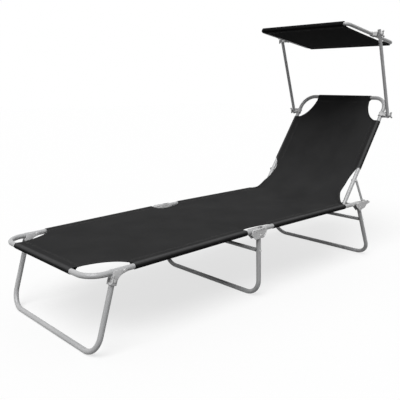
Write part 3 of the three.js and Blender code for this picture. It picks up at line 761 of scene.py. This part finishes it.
def add_spacers():
    """Moulded spacers on the backrest's bolts, and washers between its tubes and the props."""
    shares = SPACER_SHARES + tuple((r, 1 - a) for r, a in reversed(SPACER_SHARES))
    for word, side in SIDES.items():
        low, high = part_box(f"back_pivot_spacer_{word}")
        inner, outer = sorted((low.y, high.y), key=abs)
        profile = [(SPACER_RADIUS * r, inner + (outer - inner) * a) for r, a in shares]
        spacer = lathe(f"back_pivot_spacer_turned_{word}", profile, SEAT @ along(SEAT_LENGTH), CAP_PLASTIC)
        dressed(spacer, "seat", "caps", f"back_pivot_spacer_{word}")
        start, end = side * (BACK_HALF + TUBE_RADIUS), side * (PROP_INNER - FIT)
        profile = [(0, start), (WASHER_RADIUS * WASHER_INNER_SHARE, start), (WASHER_RADIUS, end), (0, end)]
        washer = lathe(f"prop_washer_{word}", profile, BACK @ along(PROP_PLACE), RIVET_STEEL)
        dressed(washer, "backrest", "rivets")


# Clamps and wing knobs

def clamp_ring(radius, inset):
    """The clamp's outline, as (out, up) from the tube's centre: round the tube and out to the boss."""
    wall = radius + CLAMP_WALL - inset
    half = CLAMP_BOSS_HALF - inset
    turn = asin(half / wall)
    points = round_points(wall, spaced(turn, tau - turn, CLAMP_TURN))
    corner = round_points(CLAMP_ROUND, spaced(-pi / 2, 0, CLAMP_CORNER_TURN))
    corner = [(CLAMP_BOSS - CLAMP_ROUND + out, half - CLAMP_ROUND - up) for out, up in corner]
    return points + [(out, -up) for out, up in corner] + corner[::-1]


def add_clamp(name, word, body, local, radius):
    def placed(x, points):
        return [local @ Vector((x, SIDES[word] * (BACK_HALF + out), up)) for out, up in points]

    ends = CLAMP_HALF - CLAMP_INSET
    neck = CLAMP_HALF - CLAMP_FLANGE
    slices = [(CLAMP_HALF, CLAMP_INSET), (ends, 0), (neck, 0), (neck - CLAMP_INSET, CLAMP_INSET)]
    slices = [(-x, inset) for x, inset in slices] + slices[::-1]
    rings = [placed(x, clamp_ring(radius, inset)) for x, inset in slices]
    bore = round_points(radius, [atan2(up, out) for out, up in clamp_ring(radius, 0)])
    rings += [placed(CLAMP_HALF, bore), placed(-CLAMP_HALF, bore)]
    clamp = loft(f"{name}_moulded_{word}", rings, GREY_PLASTIC, closed=True)
    dressed(clamp, body, "grey_plastic", f"{name}_{word}")


def add_clamps():
    for word in SIDES:
        add_clamp("arm_clamp", word, "backrest", BACK @ along(CLAMP_PLACE), TUBE_RADIUS + FIT)
        add_clamp("canopy_clamp", word, "canopy", CANOPY, SLIM_RADIUS + FIT)


def add_knob(name, local, side):
    """A moulded wing knob: a hub and two wings grown into one skin, on a steel stud."""
    face = local @ Matrix.Translation((0, side * KNOB_FACE, 0))
    if side < 0:
        face = face @ Matrix.Rotation(pi, 4, "Z")
    hub = lathe(f"{name}_hub", [(HUB_RADIUS * r, HUB_LENGTH * a) for r, a in HUB_SHARES], face, GREY_PLASTIC)
    outline = [(span * WING_SPAN, reach * WING_REACH) for span, reach in WING_SHARES]
    outline += [(-span, reach) for span, reach in reversed(outline[1:])]
    wings = loft(f"{name}_wings", [[face @ Vector((x, reach, span)) for span, reach in outline]
                                   for x in (-WING_HALF, WING_HALF)], GREY_PLASTIC)
    knob = joined(f"{name}_moulded", [hub, wings])
    skin = knob.modifiers.new("skin", "REMESH")
    skin.mode = "VOXEL"
    skin.voxel_size = KNOB_VOXEL
    knob.modifiers.new("soft", "SMOOTH").iterations = KNOB_SMOOTHINGS
    applied(knob)
    knob.data.shade_smooth()
    dressed(knob, name, "grey_plastic", name)
    length = KNOB_FACE - STUD_START + FIT
    profile = [(0, 0), (STUD_RADIUS * STUD_TIP_SHARE, 0), (STUD_RADIUS, STUD_RADIUS * STUD_TAPER_SHARE),
               (STUD_RADIUS, length), (0, length)]
    place = local @ aimed(Vector((0, side * STUD_START, 0)), Vector((0, side, 0)))
    dressed(lathe(f"{name}_stud", profile, place, RIVET_STEEL), name, "rivets")


def add_knobs():
    for word, side in SIDES.items():
        add_knob(f"arm_knob_{word}", ARMS, side)
        add_knob(f"canopy_knob_{word}", ARMS @ Matrix.Translation((0, 0, ARM_LENGTH)), side)


# Pressed plates

def plate(outline, *faces):
    """A flat plate between two places along Y, from (x, z) points."""
    return loft("plate", [[Vector((x, y, z)) for x, z in outline] for y in faces], BRACKET_COAT)


def add_rib(name, body, path, side):
    """A pressed rib along (x, z) points on the outer face of a bracket's cheek."""
    points = [Vector((x, side * (RAIL_HALF + CHEEK_OUTER), z)) for x, z in path]
    rings = []
    for k, place in enumerate(points):
        across = step_at(points, k).normalized().cross(Vector((0, side, 0)))
        rings.append([place + across * RIB_HALF * a + Vector((0, side * RIB_HEIGHT * h, 0))
                      for a, h in RIB_SHARES])
    dressed(loft(name, rings, BRACKET_COAT), body, "steel_tube")


def rounded(piece):
    edge = piece.modifiers.new("edge", "BEVEL")
    edge.width = PLATE_ROUND
    edge.segments = PLATE_SEGMENTS
    edge.angle_limit = PLATE_CORNER
    applied(piece)
    piece.data.set_sharp_from_angle(angle=PLATE_SHARP)
    return piece


def add_front_bracket(word, side):
    """A folded bracket: two cheeks with a gusset under the rail, and the web that the leg leans on."""
    pin = PLACES["front_leg_fold"]
    down = Vector((GROUND["front_ground"].x - pin.x, REST_HEIGHT - pin.z)).normalized()

    def beside(reach, across):
        return pin.x + down.x * reach - down.y * across, pin.z + down.y * reach + down.x * across

    def on_rail(reach, lift):
        x = pin.x + reach
        return x, FOOT.translation.z + (x - FOOT.translation.x) * sin(FOOT_SLOPE) + lift

    drop = on_rail(0, 0)[1] - pin.z
    first, bend = Vector(beside(0, STEM_REACH)), Vector(beside(GUSSET_DEPTH - drop, STEM_REACH))
    last = Vector(on_rail(GUSSET_REACH, -GUSSET_DEPTH))
    gusset = [first.lerp(bend, share).lerp(bend.lerp(last, share), share)
              for share in spaced(0, 1, GUSSET_STEP_SHARE)]
    outline = [beside(-drop - BRACKET_TOP, -CHEEK_OUTER), beside(STEM_DROP, -CHEEK_OUTER),
               beside(STEM_DROP, STEM_REACH), *gusset, on_rail(GUSSET_REACH, BRACKET_TOP)]
    middle = side * RAIL_HALF
    pieces = [plate(outline, middle + way * CHEEK_INNER, middle + way * CHEEK_OUTER) for way in WAYS]
    for low, high in ((TUBE_RADIUS - drop, -WEB_GAP), (WEB_GAP, STEM_DROP)):
        web = [beside(low, -CHEEK_OUTER), beside(high, -CHEEK_OUTER), beside(high, -CHEEK_INNER),
               beside(low, -CHEEK_INNER)]
        pieces.append(plate(web, middle - CHEEK_OUTER, middle + CHEEK_OUTER))
    piece = rounded(joined(f"front_bracket_pressed_{word}", pieces))
    dressed(piece, "foot_section", "steel_tube", f"front_bracket_{word}")
    path = [beside(reach, RIB_INSET - CHEEK_OUTER) for reach in (TUBE_RADIUS - drop, STEM_DROP - RIB_INSET)]
    add_rib(f"front_bracket_rib_{word}", "foot_section", path, side)


def add_hinge_rib(word, side):
    """A rib along the top and both slanting ends of the hinge bracket's outer cheek."""
    low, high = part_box(f"hinge_bracket_{word}")
    top = high.z - RIB_INSET
    left, right = low.x + RIB_INSET, high.x - RIB_INSET
    path = [(left, top - RIB_START), (left, top - RIB_CORNER), (left + RIB_CORNER, top),
            (right - RIB_CORNER, top), (right, top - RIB_CORNER), (right, top - RIB_TURN),
            (right - RIB_SLANT, low.z + RIB_INSET)]
    add_rib(f"hinge_bracket_rib_{word}", "seat", path, side)


def add_plates():
    """The other pressed plates keep the frame's shape, with rounded edges."""
    for word, side in SIDES.items():
        add_front_bracket(word, side)
        add_hinge_rib(word, side)
        for name in ("hinge_bracket", "ratchet_bracket", "prop"):
            node = f"{name}_{word}"
            piece = link(f"{node}_pressed", frame["nodes"][node].data.copy(), finish_of(node))
            dressed(rounded(piece), body_of(node), "steel_tube", node)


# The sling: rows of a side view, each with the fabric's half width and what its edges rest on

def touch_turn(radius, up, way):
    """Where a line from the seam, at the given height, touches the sleeve's round."""
    return atan2(up, -STITCH_REACH) - way * acos(radius / hypot(STITCH_REACH, up))


def under_points(radius, lift, start):
    """A sleeve's section from a turn on its round, back under to the seam and the hem, as (out, up)."""
    low = lift - UNDERLAP
    points = round_points(radius, spaced(start, touch_turn(radius, low, -1) - tau, WRAP_TURN))
    last = points[-1]
    points.append(((last[0] - STITCH_REACH) / 2, (last[1] + low) / 2))
    return points + [(-STITCH_REACH, low), (-STITCH_REACH - HEM_REACH, low)]


@dataclass
class Row:
    panel: Vector
    normal: Vector
    width: float
    rail_half: float
    rail: Vector
    up: Vector
    rise: float = SEAT_RISE
    hold: float = 0.0
    lift: float = 1.0
    dip: float = 0.0
    kind: str = "free"


def plain_row(local, x, width, rail_half, z=0.0, **more):
    """A row whose fabric lies in the plane of the rails."""
    place = local @ Vector((x, 0, z))
    up = local.to_3x3() @ UP
    return Row(place, up, width, rail_half, place, up, **more)


def over_tube(row, y):
    """How far the fabric stands over the plane of the rails at a half width y."""
    out = y - row.rail_half
    if out <= -STITCH_REACH:
        return row.rise
    touch = touch_turn(SLEEVE_RADIUS, row.rise, 1)
    touch_out, touch_up = SLEEVE_RADIUS * cos(touch), SLEEVE_RADIUS * sin(touch)
    if out < touch_out:
        return row.rise + (touch_up - row.rise) * (out + STITCH_REACH) / (touch_out + STITCH_REACH)
    return sqrt(max(SLEEVE_RADIUS ** 2 - out ** 2, 0))


def on_row(row, y, side, lifted=0.0):
    """The place of the fabric's middle layer at a half width y, and its normal."""
    stitch = row.rail_half - STITCH_REACH
    held = row.hold * smooth(y, stitch * HOLD_START_SHARE, stitch)
    centre = row.panel.lerp(row.rail, held)
    normal = row.normal.lerp(row.up, held).normalized()
    over = row.rise + (over_tube(row, y) - row.rise) * row.lift
    over -= row.dip * smooth(y / row.width, DIP_START_SHARE)
    place = centre + normal * (over + lifted)
    return Vector((place.x, side * y, place.z)), normal


def half_widths(row):
    """The half widths of a row's columns, from the middle to the top of the tube or the free edge."""
    stitch = row.rail_half - STITCH_REACH
    values = [stitch * k / INNER_COLUMNS for k in range(INNER_COLUMNS + 1)]
    values += [row.rail_half + out for out in spaced(-STITCH_REACH, 0, SLEEVE_STEP)[1:]]
    return [value * row.width / row.rail_half for value in values]


def wrap_points(row):
    """The rest of a sleeve's section, as (out, up) from the tube's centre: round it and back under."""
    return under_points(SLEEVE_RADIUS, row.rise, pi / 2)


def wrap_line(row, v, side):
    points = wrap_points(row)
    line = []
    for (out, up), length in zip(points, section_lengths(points)):
        centre = row.rail + row.up * up
        place = Vector((centre.x, side * (row.rail_half + out), centre.z))
        line.append((place, (side * (RAIL_HALF + length), v)))
    return line


def stretches(rows, kind):
    """The numbers of neighbouring rows of a kind, one list for each stretch."""
    groups = groupby(range(len(rows)), key=lambda i: rows[i].kind)
    return [list(group) for found, group in groups if found == kind]


def sling_grids(rows, start):
    """The panel and the sleeves, as grids of (place, uv)."""
    places = section_lengths([row.panel for row in rows])
    marks = [start + place for place in places]
    panel = []
    for row, v in zip(rows, marks):
        widths = half_widths(row)
        spread = RAIL_HALF / row.rail_half
        line = [(on_row(row, y, -1)[0], (-y * spread, v)) for y in reversed(widths)]
        line += [(on_row(row, y, 1)[0], (y * spread, v)) for y in widths[1:]]
        panel.append(line)
    return [panel] + [[wrap_line(rows[i], marks[i], side) for i in stretch]
                      for stretch in stretches(rows, "sleeve") for side in WAYS]


def sheet_object(name, grids, material):
    """One cloth from grids of (place, uv) that meet edge to edge, with its flat area."""
    work = bmesh.new()
    layer = work.loops.layers.uv.new("weave")
    for grid in grids:
        corners = [[(work.verts.new(place), mark) for place, mark in line] for line in grid]
        for line, following in zip(corners, corners[1:]):
            for k in range(len(line) - 1):
                around = (line[k], line[k + 1], following[k + 1], following[k])
                face = work.faces.new([corner for corner, _ in around])
                for loop, (_, mark) in zip(face.loops, around):
                    loop[layer].uv = mark
    bmesh.ops.remove_doubles(work, verts=work.verts, dist=WELD)
    face_out(work)
    area = sum(face.calc_area() for face in work.faces)
    obj = linked(name, work, material, CLOTH_SHARP)
    solid = obj.modifiers.new("cloth", "SOLIDIFY")
    solid.thickness = CLOTH
    solid.offset = 0
    applied(obj)
    obj.data.set_sharp_from_angle(angle=CLOTH_SHARP)
    return obj, area


def ellipse_width(place, centre, reach, rail_half, inset):
    """The half width left by an elliptical cut-out whose middle lies beside the rail."""
    share = min(abs(place - centre) / reach, 1.0)
    return rail_half - inset * sqrt(1 - share * share)


def end_rows(local, way, length, cut, half, bar_half, rise):
    """Rows beside an end's cut-outs, dense where the cut is steep, then over and back under the end bar."""
    inset = half - bar_half
    rows = []
    for turn in spaced(asin(STITCH_REACH / inset), acos(STITCH_REACH / cut), CUT_TURN):
        place = length - cut * cos(turn)
        width = ellipse_width(place, length, cut, half, inset)
        rows.append(plain_row(local, way * place, width, half, rise=rise))
    points = under_points(SLEEVE_RADIUS, rise, touch_turn(SLEEVE_RADIUS, rise, 1))
    return rows + [plain_row(local, way * (length + out), bar_half, half, z=up - rise, rise=rise, kind="bar")
                   for out, up in points]


def hinge_row(local, x, reach):
    """A row of the cut-out at the foot section's hinge, whose free edge hangs between the sleeves."""
    width = ellipse_width(x, 0, reach, RAIL_HALF, HINGE_CUT_DEPTH)
    share = (RAIL_HALF - width) / HINGE_CUT_DEPTH
    return plain_row(local, x, width, RAIL_HALF, lift=1 - share, dip=HINGE_DIP * share)


def sleeve_rows(local, start, end, half, **more):
    return [plain_row(local, x, half, half, kind="sleeve", **more) for x in spaced(start, end, ROW_STEP)]


def foot_rows():
    rows = end_rows(FOOT, -1, FOOT_LENGTH, FOOT_CUT, RAIL_HALF, FOOT_BAR_HALF, SEAT_RISE)[::-1]
    rows += sleeve_rows(FOOT, FOOT_CUT - FOOT_LENGTH, -HINGE_CUT_FRONT, RAIL_HALF)
    rows += [hinge_row(FOOT, x, HINGE_CUT_FRONT) for x in spaced(-HINGE_CUT_FRONT, 0, HINGE_STEP)[1:-1]]
    rows += [hinge_row(SEAT, x, HINGE_CUT_REAR) for x in spaced(0, HINGE_CUT_REAR, HINGE_STEP)[:-1]]
    return rows + sleeve_rows(SEAT, HINGE_CUT_REAR, SPLIT, RAIL_HALF)


def bridge_place(reach):
    """The place, normal and rail's place at a reach along the arc from the seat, and straight on past it."""
    turn = min(reach, BRIDGE_ARC) / BRIDGE_RADIUS
    x = SEAT_LENGTH - BRIDGE + BRIDGE_RADIUS * sin(turn)
    place = SEAT @ Vector((x, 0, BRIDGE_RADIUS * (1 - cos(turn))))
    place += BACK.to_3x3() @ Vector((max(reach - BRIDGE_ARC, 0), 0, 0))
    return place, Vector((-sin(turn), 0, cos(turn))), Vector((place.x, 0, SEAT.translation.z))


def waist_width(reach, start, end):
    """The free edge narrows from the rail to the waist and widens again to the backrest's tube."""
    waist = WAIST_LOW_HALF + (WAIST_HIGH_HALF - WAIST_LOW_HALF) * (reach - start) / (end - start)
    if reach < start + WAIST_START:
        return waist + (RAIL_HALF - waist) * (1 - (reach - start) / WAIST_START) ** WAIST_START_POWER
    if reach > end - WAIST_END:
        return waist + (BACK_HALF - waist) * (1 - (end - reach) / WAIST_END) ** WAIST_END_POWER
    return waist


def bridge_rows():
    start = BRIDGE_RADIUS * asin((SEAT_SLEEVE_END - SEAT_LENGTH + BRIDGE) / BRIDGE_RADIUS)
    end = BRIDGE_ARC + BACK_SLEEVE_START - BRIDGE
    rows = []
    for reach in spaced(0, start, ARC_STEP)[1:]:
        place, normal, rail = bridge_place(reach)
        rows.append(Row(place, normal, RAIL_HALF, RAIL_HALF, rail, UP, hold=1.0, kind="sleeve"))
    for reach in spaced(start, end, WAIST_STEP)[1:-1]:
        place, normal, rail = bridge_place(reach)
        share = (reach - start) / (end - start)
        rail_half = RAIL_HALF + (BACK_HALF - RAIL_HALF) * smooth(share, *NARROWING_SHARES)
        rise = SEAT_RISE + (BACK_RISE - SEAT_RISE) * smooth(share)
        hold = 1 - smooth(share, *HOLD_SHARES)
        lift = 1 - smooth(share, *FALL_SHARES) + smooth(share, *CLIMB_SHARES)
        width = waist_width(reach, start, end)
        rows.append(Row(place, normal, width, rail_half, rail, UP, rise, hold, lift))
    return rows


def back_rows():
    rows = sleeve_rows(SEAT, SPLIT, SEAT_LENGTH - BRIDGE, RAIL_HALF, hold=1.0) + bridge_rows()
    rows += sleeve_rows(BACK, BACK_SLEEVE_START, BACK_LENGTH - BACK_CUT, BACK_HALF, rise=BACK_RISE)
    return rows + end_rows(BACK, 1, BACK_LENGTH, BACK_CUT, BACK_HALF, BACK_BAR_HALF, BACK_RISE)


# Hems and stitches

def edge_of(line, side):
    """A free edge as (place, inward, normal) at each step, from its (place, normal) points."""
    places = [place for place, _ in line]
    edge = []
    for k, (place, normal) in enumerate(line):
        inward = normal.cross(step_at(places, k)).normalized()
        if inward.y * side > 0:
            inward.negate()
        edge.append((place, inward, normal))
    return edge


def free_edges(rows):
    """The edges beside the cut-outs, each on one side."""
    return [edge_of([on_row(rows[i], rows[i].width, side) for i in stretch], side)
            for stretch in stretches(rows, "free") for side in WAYS]


def add_hems(name, edges, material):
    """Folded hems along free edges, as one piece."""
    section = HEM_SECTION + [(reach, -share) for reach, share in reversed(HEM_SECTION[1:])]
    pieces = []
    for i, edge in enumerate(edges):
        rings = [[place + inward * reach + normal * (share * HEM_HALF) for reach, share in section]
                 for place, inward, normal in edge]
        piece = loft(f"{name}_hem_{i}", rings, material)
        layer = piece.data.uv_layers.new(name="weave")
        for loop in piece.data.loops:
            place = piece.data.vertices[loop.vertex_index].co
            layer.data[loop.index].uv = (place.y, HEM_WEAVE_START + place.x + place.z)
        pieces.append(piece)
    return joined(f"{name}_hems", pieces)


def add_stitch(work, place, way, normal):
    """A short spindle of thread that dips into the cloth at both ends."""
    side = way.cross(normal).normalized()
    rings = []
    for reach, size, rise in STITCH_SHARES:
        centre = place + way * STITCH_LENGTH * reach + normal * STITCH_RADIUS * rise
        rings.append(ring_points(centre, side, normal, STITCH_RADIUS * size, STITCH_SIDES))
    add_skin(work, rings)


def stitching(name, lines):
    """Stitches along lines of (place, normal) points, as one piece."""
    work = bmesh.new()
    for line in lines:
        travelled = 0.0
        for (before, normal), (after, _) in zip(line, line[1:]):
            step = after - before
            way = step.normalized()
            while travelled < step.length:
                add_stitch(work, before + way * travelled, way, normal)
                travelled += STITCH_PITCH
            travelled -= step.length
    face_out(work)
    return linked(name, work, THREAD)


def faced(line, face):
    """Turns the normals of (place, normal) points toward the cloth's face that they lie on."""
    return [(place, normal * copysign(1, face)) for place, normal in line]


def sleeve_seams(rows):
    """Two rows of stitches inside each rail's sleeve, on the fabric's top and on its underside."""
    lines = []
    for stretch, side, inset, face in product(stretches(rows, "sleeve"), WAYS, SEAM_INSETS, SLING_FACES):
        line = [on_row(rows[i], rows[i].rail_half - STITCH_REACH - inset, side, face) for i in stretch]
        lines.append(faced(line, face))
    return lines


def hem_seams(edges):
    return [[(place + inward * (HEM_WIDTH - HEM_SEAM_INSET) + normal * HEM_HALF * face, normal * face)
             for place, inward, normal in edge] for edge in edges for face in (1, -1)]


def bar_seams(local, length, way, half, rise):
    """Stitches along the end bar's sleeve."""
    up = local.to_3x3() @ UP
    lines = []
    for inset in SEAM_INSETS:
        x = way * (length - STITCH_REACH - inset)
        for face in SLING_FACES:
            ends = [local @ Vector((x, side * (half + BAR_SEAM_REACH), rise + face)) for side in WAYS]
            lines.append(faced([(end, up) for end in ends], face))
    return lines


def add_sling(name, rows, first, bar, nodes):
    """One stretch of the sling with its hems and stitches, left in its rest shape."""
    cloth, area = sheet_object(f"{name}_cloth", sling_grids(rows, first), SLING_CLOTH)
    edges = free_edges(rows)
    hems = add_hems(name, edges, SLING_CLOTH)
    seams = stitching(f"{name}_stitches", sleeve_seams(rows) + hem_seams(edges) + bar_seams(*bar))
    for piece in (cloth, hems, seams):
        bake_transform(piece)
    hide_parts(*nodes)
    width = 2 * (RAIL_HALF + section_lengths(wrap_points(rows[0]))[-1]) * CUT_ALLOWANCE


def add_slings():
    rows = foot_rows()
    wrapped = section_lengths([(row.panel.x, row.panel.z) for row in rows if row.kind == "bar"])[-1]
    bar = (FOOT, FOOT_LENGTH, -1, FOOT_BAR_HALF, SEAT_RISE)
    add_sling("foot", rows, -wrapped, bar, ["foot_sling"])
    bar = (BACK, BACK_LENGTH, 1, BACK_BAR_HALF, BACK_RISE)
    add_sling("back", back_rows(), FOOT_LENGTH + SPLIT, bar,
              ["seat_sling", "back_sling"])


# The canopy's fabric

def canopy_line(x, z, v):
    middle = (CANOPY_REAR - CANOPY_FRONT) / 2
    half = (CANOPY_REAR + CANOPY_FRONT) / 2
    share = min(abs(x - middle) / half, 1.0)
    width = CANOPY_SLEEVE_HALF - CANOPY_BOW * (1 - share * share)
    places = [width * (2 * k / CANOPY_COLUMNS - 1) for k in range(CANOPY_COLUMNS + 1)]
    return [(CANOPY @ Vector((x, y, z)), (y, v)) for y in places]


def canopy_run(step):
    """The flat run of the canopy's cloth between its two seams, in the side view."""
    ends = (-CANOPY_FRONT + STITCH_REACH, CANOPY_REAR - STITCH_REACH)
    return [(x, -CANOPY_DROP) for x in spaced(*ends, step)]


def canopy_section():
    """The side view of the canopy's cloth: a loop over each cross tube and a flat run under them."""
    touch = touch_turn(SLIM_SLEEVE_RADIUS, CANOPY_DROP, 1)
    loop = under_points(SLIM_SLEEVE_RADIUS, CANOPY_DROP, touch)
    front = [(-CANOPY_FRONT - out, -up) for out, up in reversed(loop)]
    rear = [(CANOPY_REAR + out, -up) for out, up in loop]
    return front + canopy_run(CANOPY_STEP) + rear


def canopy_edge(side):
    normal = CANOPY.to_3x3() @ UP
    column = 0 if side < 0 else -1
    return edge_of([(canopy_line(x, z, 0)[column][0], normal) for x, z in canopy_run(CANOPY_HEM_STEP)], side)


def canopy_seams():
    up = CANOPY.to_3x3() @ UP
    lines = []
    for x, way in ((-CANOPY_FRONT, 1), (CANOPY_REAR, -1)):
        for inset in SEAM_INSETS:
            for face in CANOPY_FACES:
                line = canopy_line(x + way * (STITCH_REACH + inset), face - CANOPY_DROP, 0)
                lines.append(faced([(place, up) for place, _ in line[1:-1]], face))
    return lines


def add_canopy_cloth():
    section = canopy_section()
    lengths = section_lengths(section)
    grid = [canopy_line(x, z, v) for (x, z), v in zip(section, lengths)]
    cloth, area = sheet_object("canopy_cloth", [grid], CANOPY_CLOTH)
    edges = [canopy_edge(side) for side in WAYS]
    hems = add_hems("canopy", edges, CANOPY_CLOTH)
    seams = stitching("canopy_stitches", canopy_seams() + hem_seams(edges))
    for piece in (cloth, hems, seams):
        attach(piece, "canopy")
    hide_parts("canopy_fabric")


# Stage

def add_camera():
    data = bpy.data.cameras.new("camera")
    data.lens = CAMERA_LENS
    data.sensor_width = SENSOR
    camera = shown("camera", data)
    level = cos(CAMERA_PITCH)
    look = Vector((cos(CAMERA_YAW) * level, sin(CAMERA_YAW) * level, -sin(CAMERA_PITCH)))
    camera.location = CAMERA_PLACE
    camera.rotation_euler = look.to_track_quat("-Z", "Y").to_euler()
    bpy.context.scene.camera = camera


def add_floor():
    """A pale floor: white where it is seen, darker in the light that it throws back."""
    mesh = bpy.data.meshes.new("floor")
    corners = [(FLOOR_HALF * x, FLOOR_HALF * y, 0) for x, y in ((-1, -1), (1, -1), (1, 1), (-1, 1))]
    mesh.from_pydata(corners, [], [(0, 1, 2, 3)])
    material, surface = new_material("floor_white")
    direct = surface.seen_directly()
    grey = surface.sum("MULTIPLY_ADD", direct, FLOOR_GREY - FLOOR_BOUNCE, FLOOR_BOUNCE)
    lift = surface.sum("MULTIPLY", direct, FLOOR_LIFT)
    surface.fill(surface.shader, {"Base Color": grey, "Emission Strength": lift, **FLOOR_LOOK})
    link("floor", mesh, material)


def add_world():
    """White to the camera; for the light on things, a wide soft ceiling over dimmer walls."""
    world = bpy.data.worlds.new("studio")
    bpy.context.scene.world = world
    surface = Surface(world, "Background")
    height = surface.split(surface.made("TexCoord").outputs["Generated"])["Z"]
    ceiling = surface.ramp(height, [(0.0, HORIZON), (ZENITH_START, ZENITH)])
    strength = surface.sum("MAXIMUM", surface.seen_directly(), ceiling)
    surface.fill(surface.shader, {"Color": WHITE, "Strength": strength})


def add_lamps():
    """Each lamp has the way its light travels, its strength, and its width in degrees."""
    for name, (way, energy, width) in LAMPS.items():
        data = bpy.data.lights.new(name, "SUN")
        data.energy = energy
        data.angle = radians(width)
        shown(name, data).rotation_euler = Vector(way).to_track_quat("-Z", "Y").to_euler()


add_camera()
add_frames()
add_legs()
add_arms_and_canopy()
add_rivets()
add_caps()
add_clamps()
add_knobs()
add_spacers()
add_plates()
add_slings()
add_canopy_cloth()
dress_frame_nodes()
add_floor()
add_world()
add_lamps()
bpy.context.scene.view_settings.view_transform = "Standard"
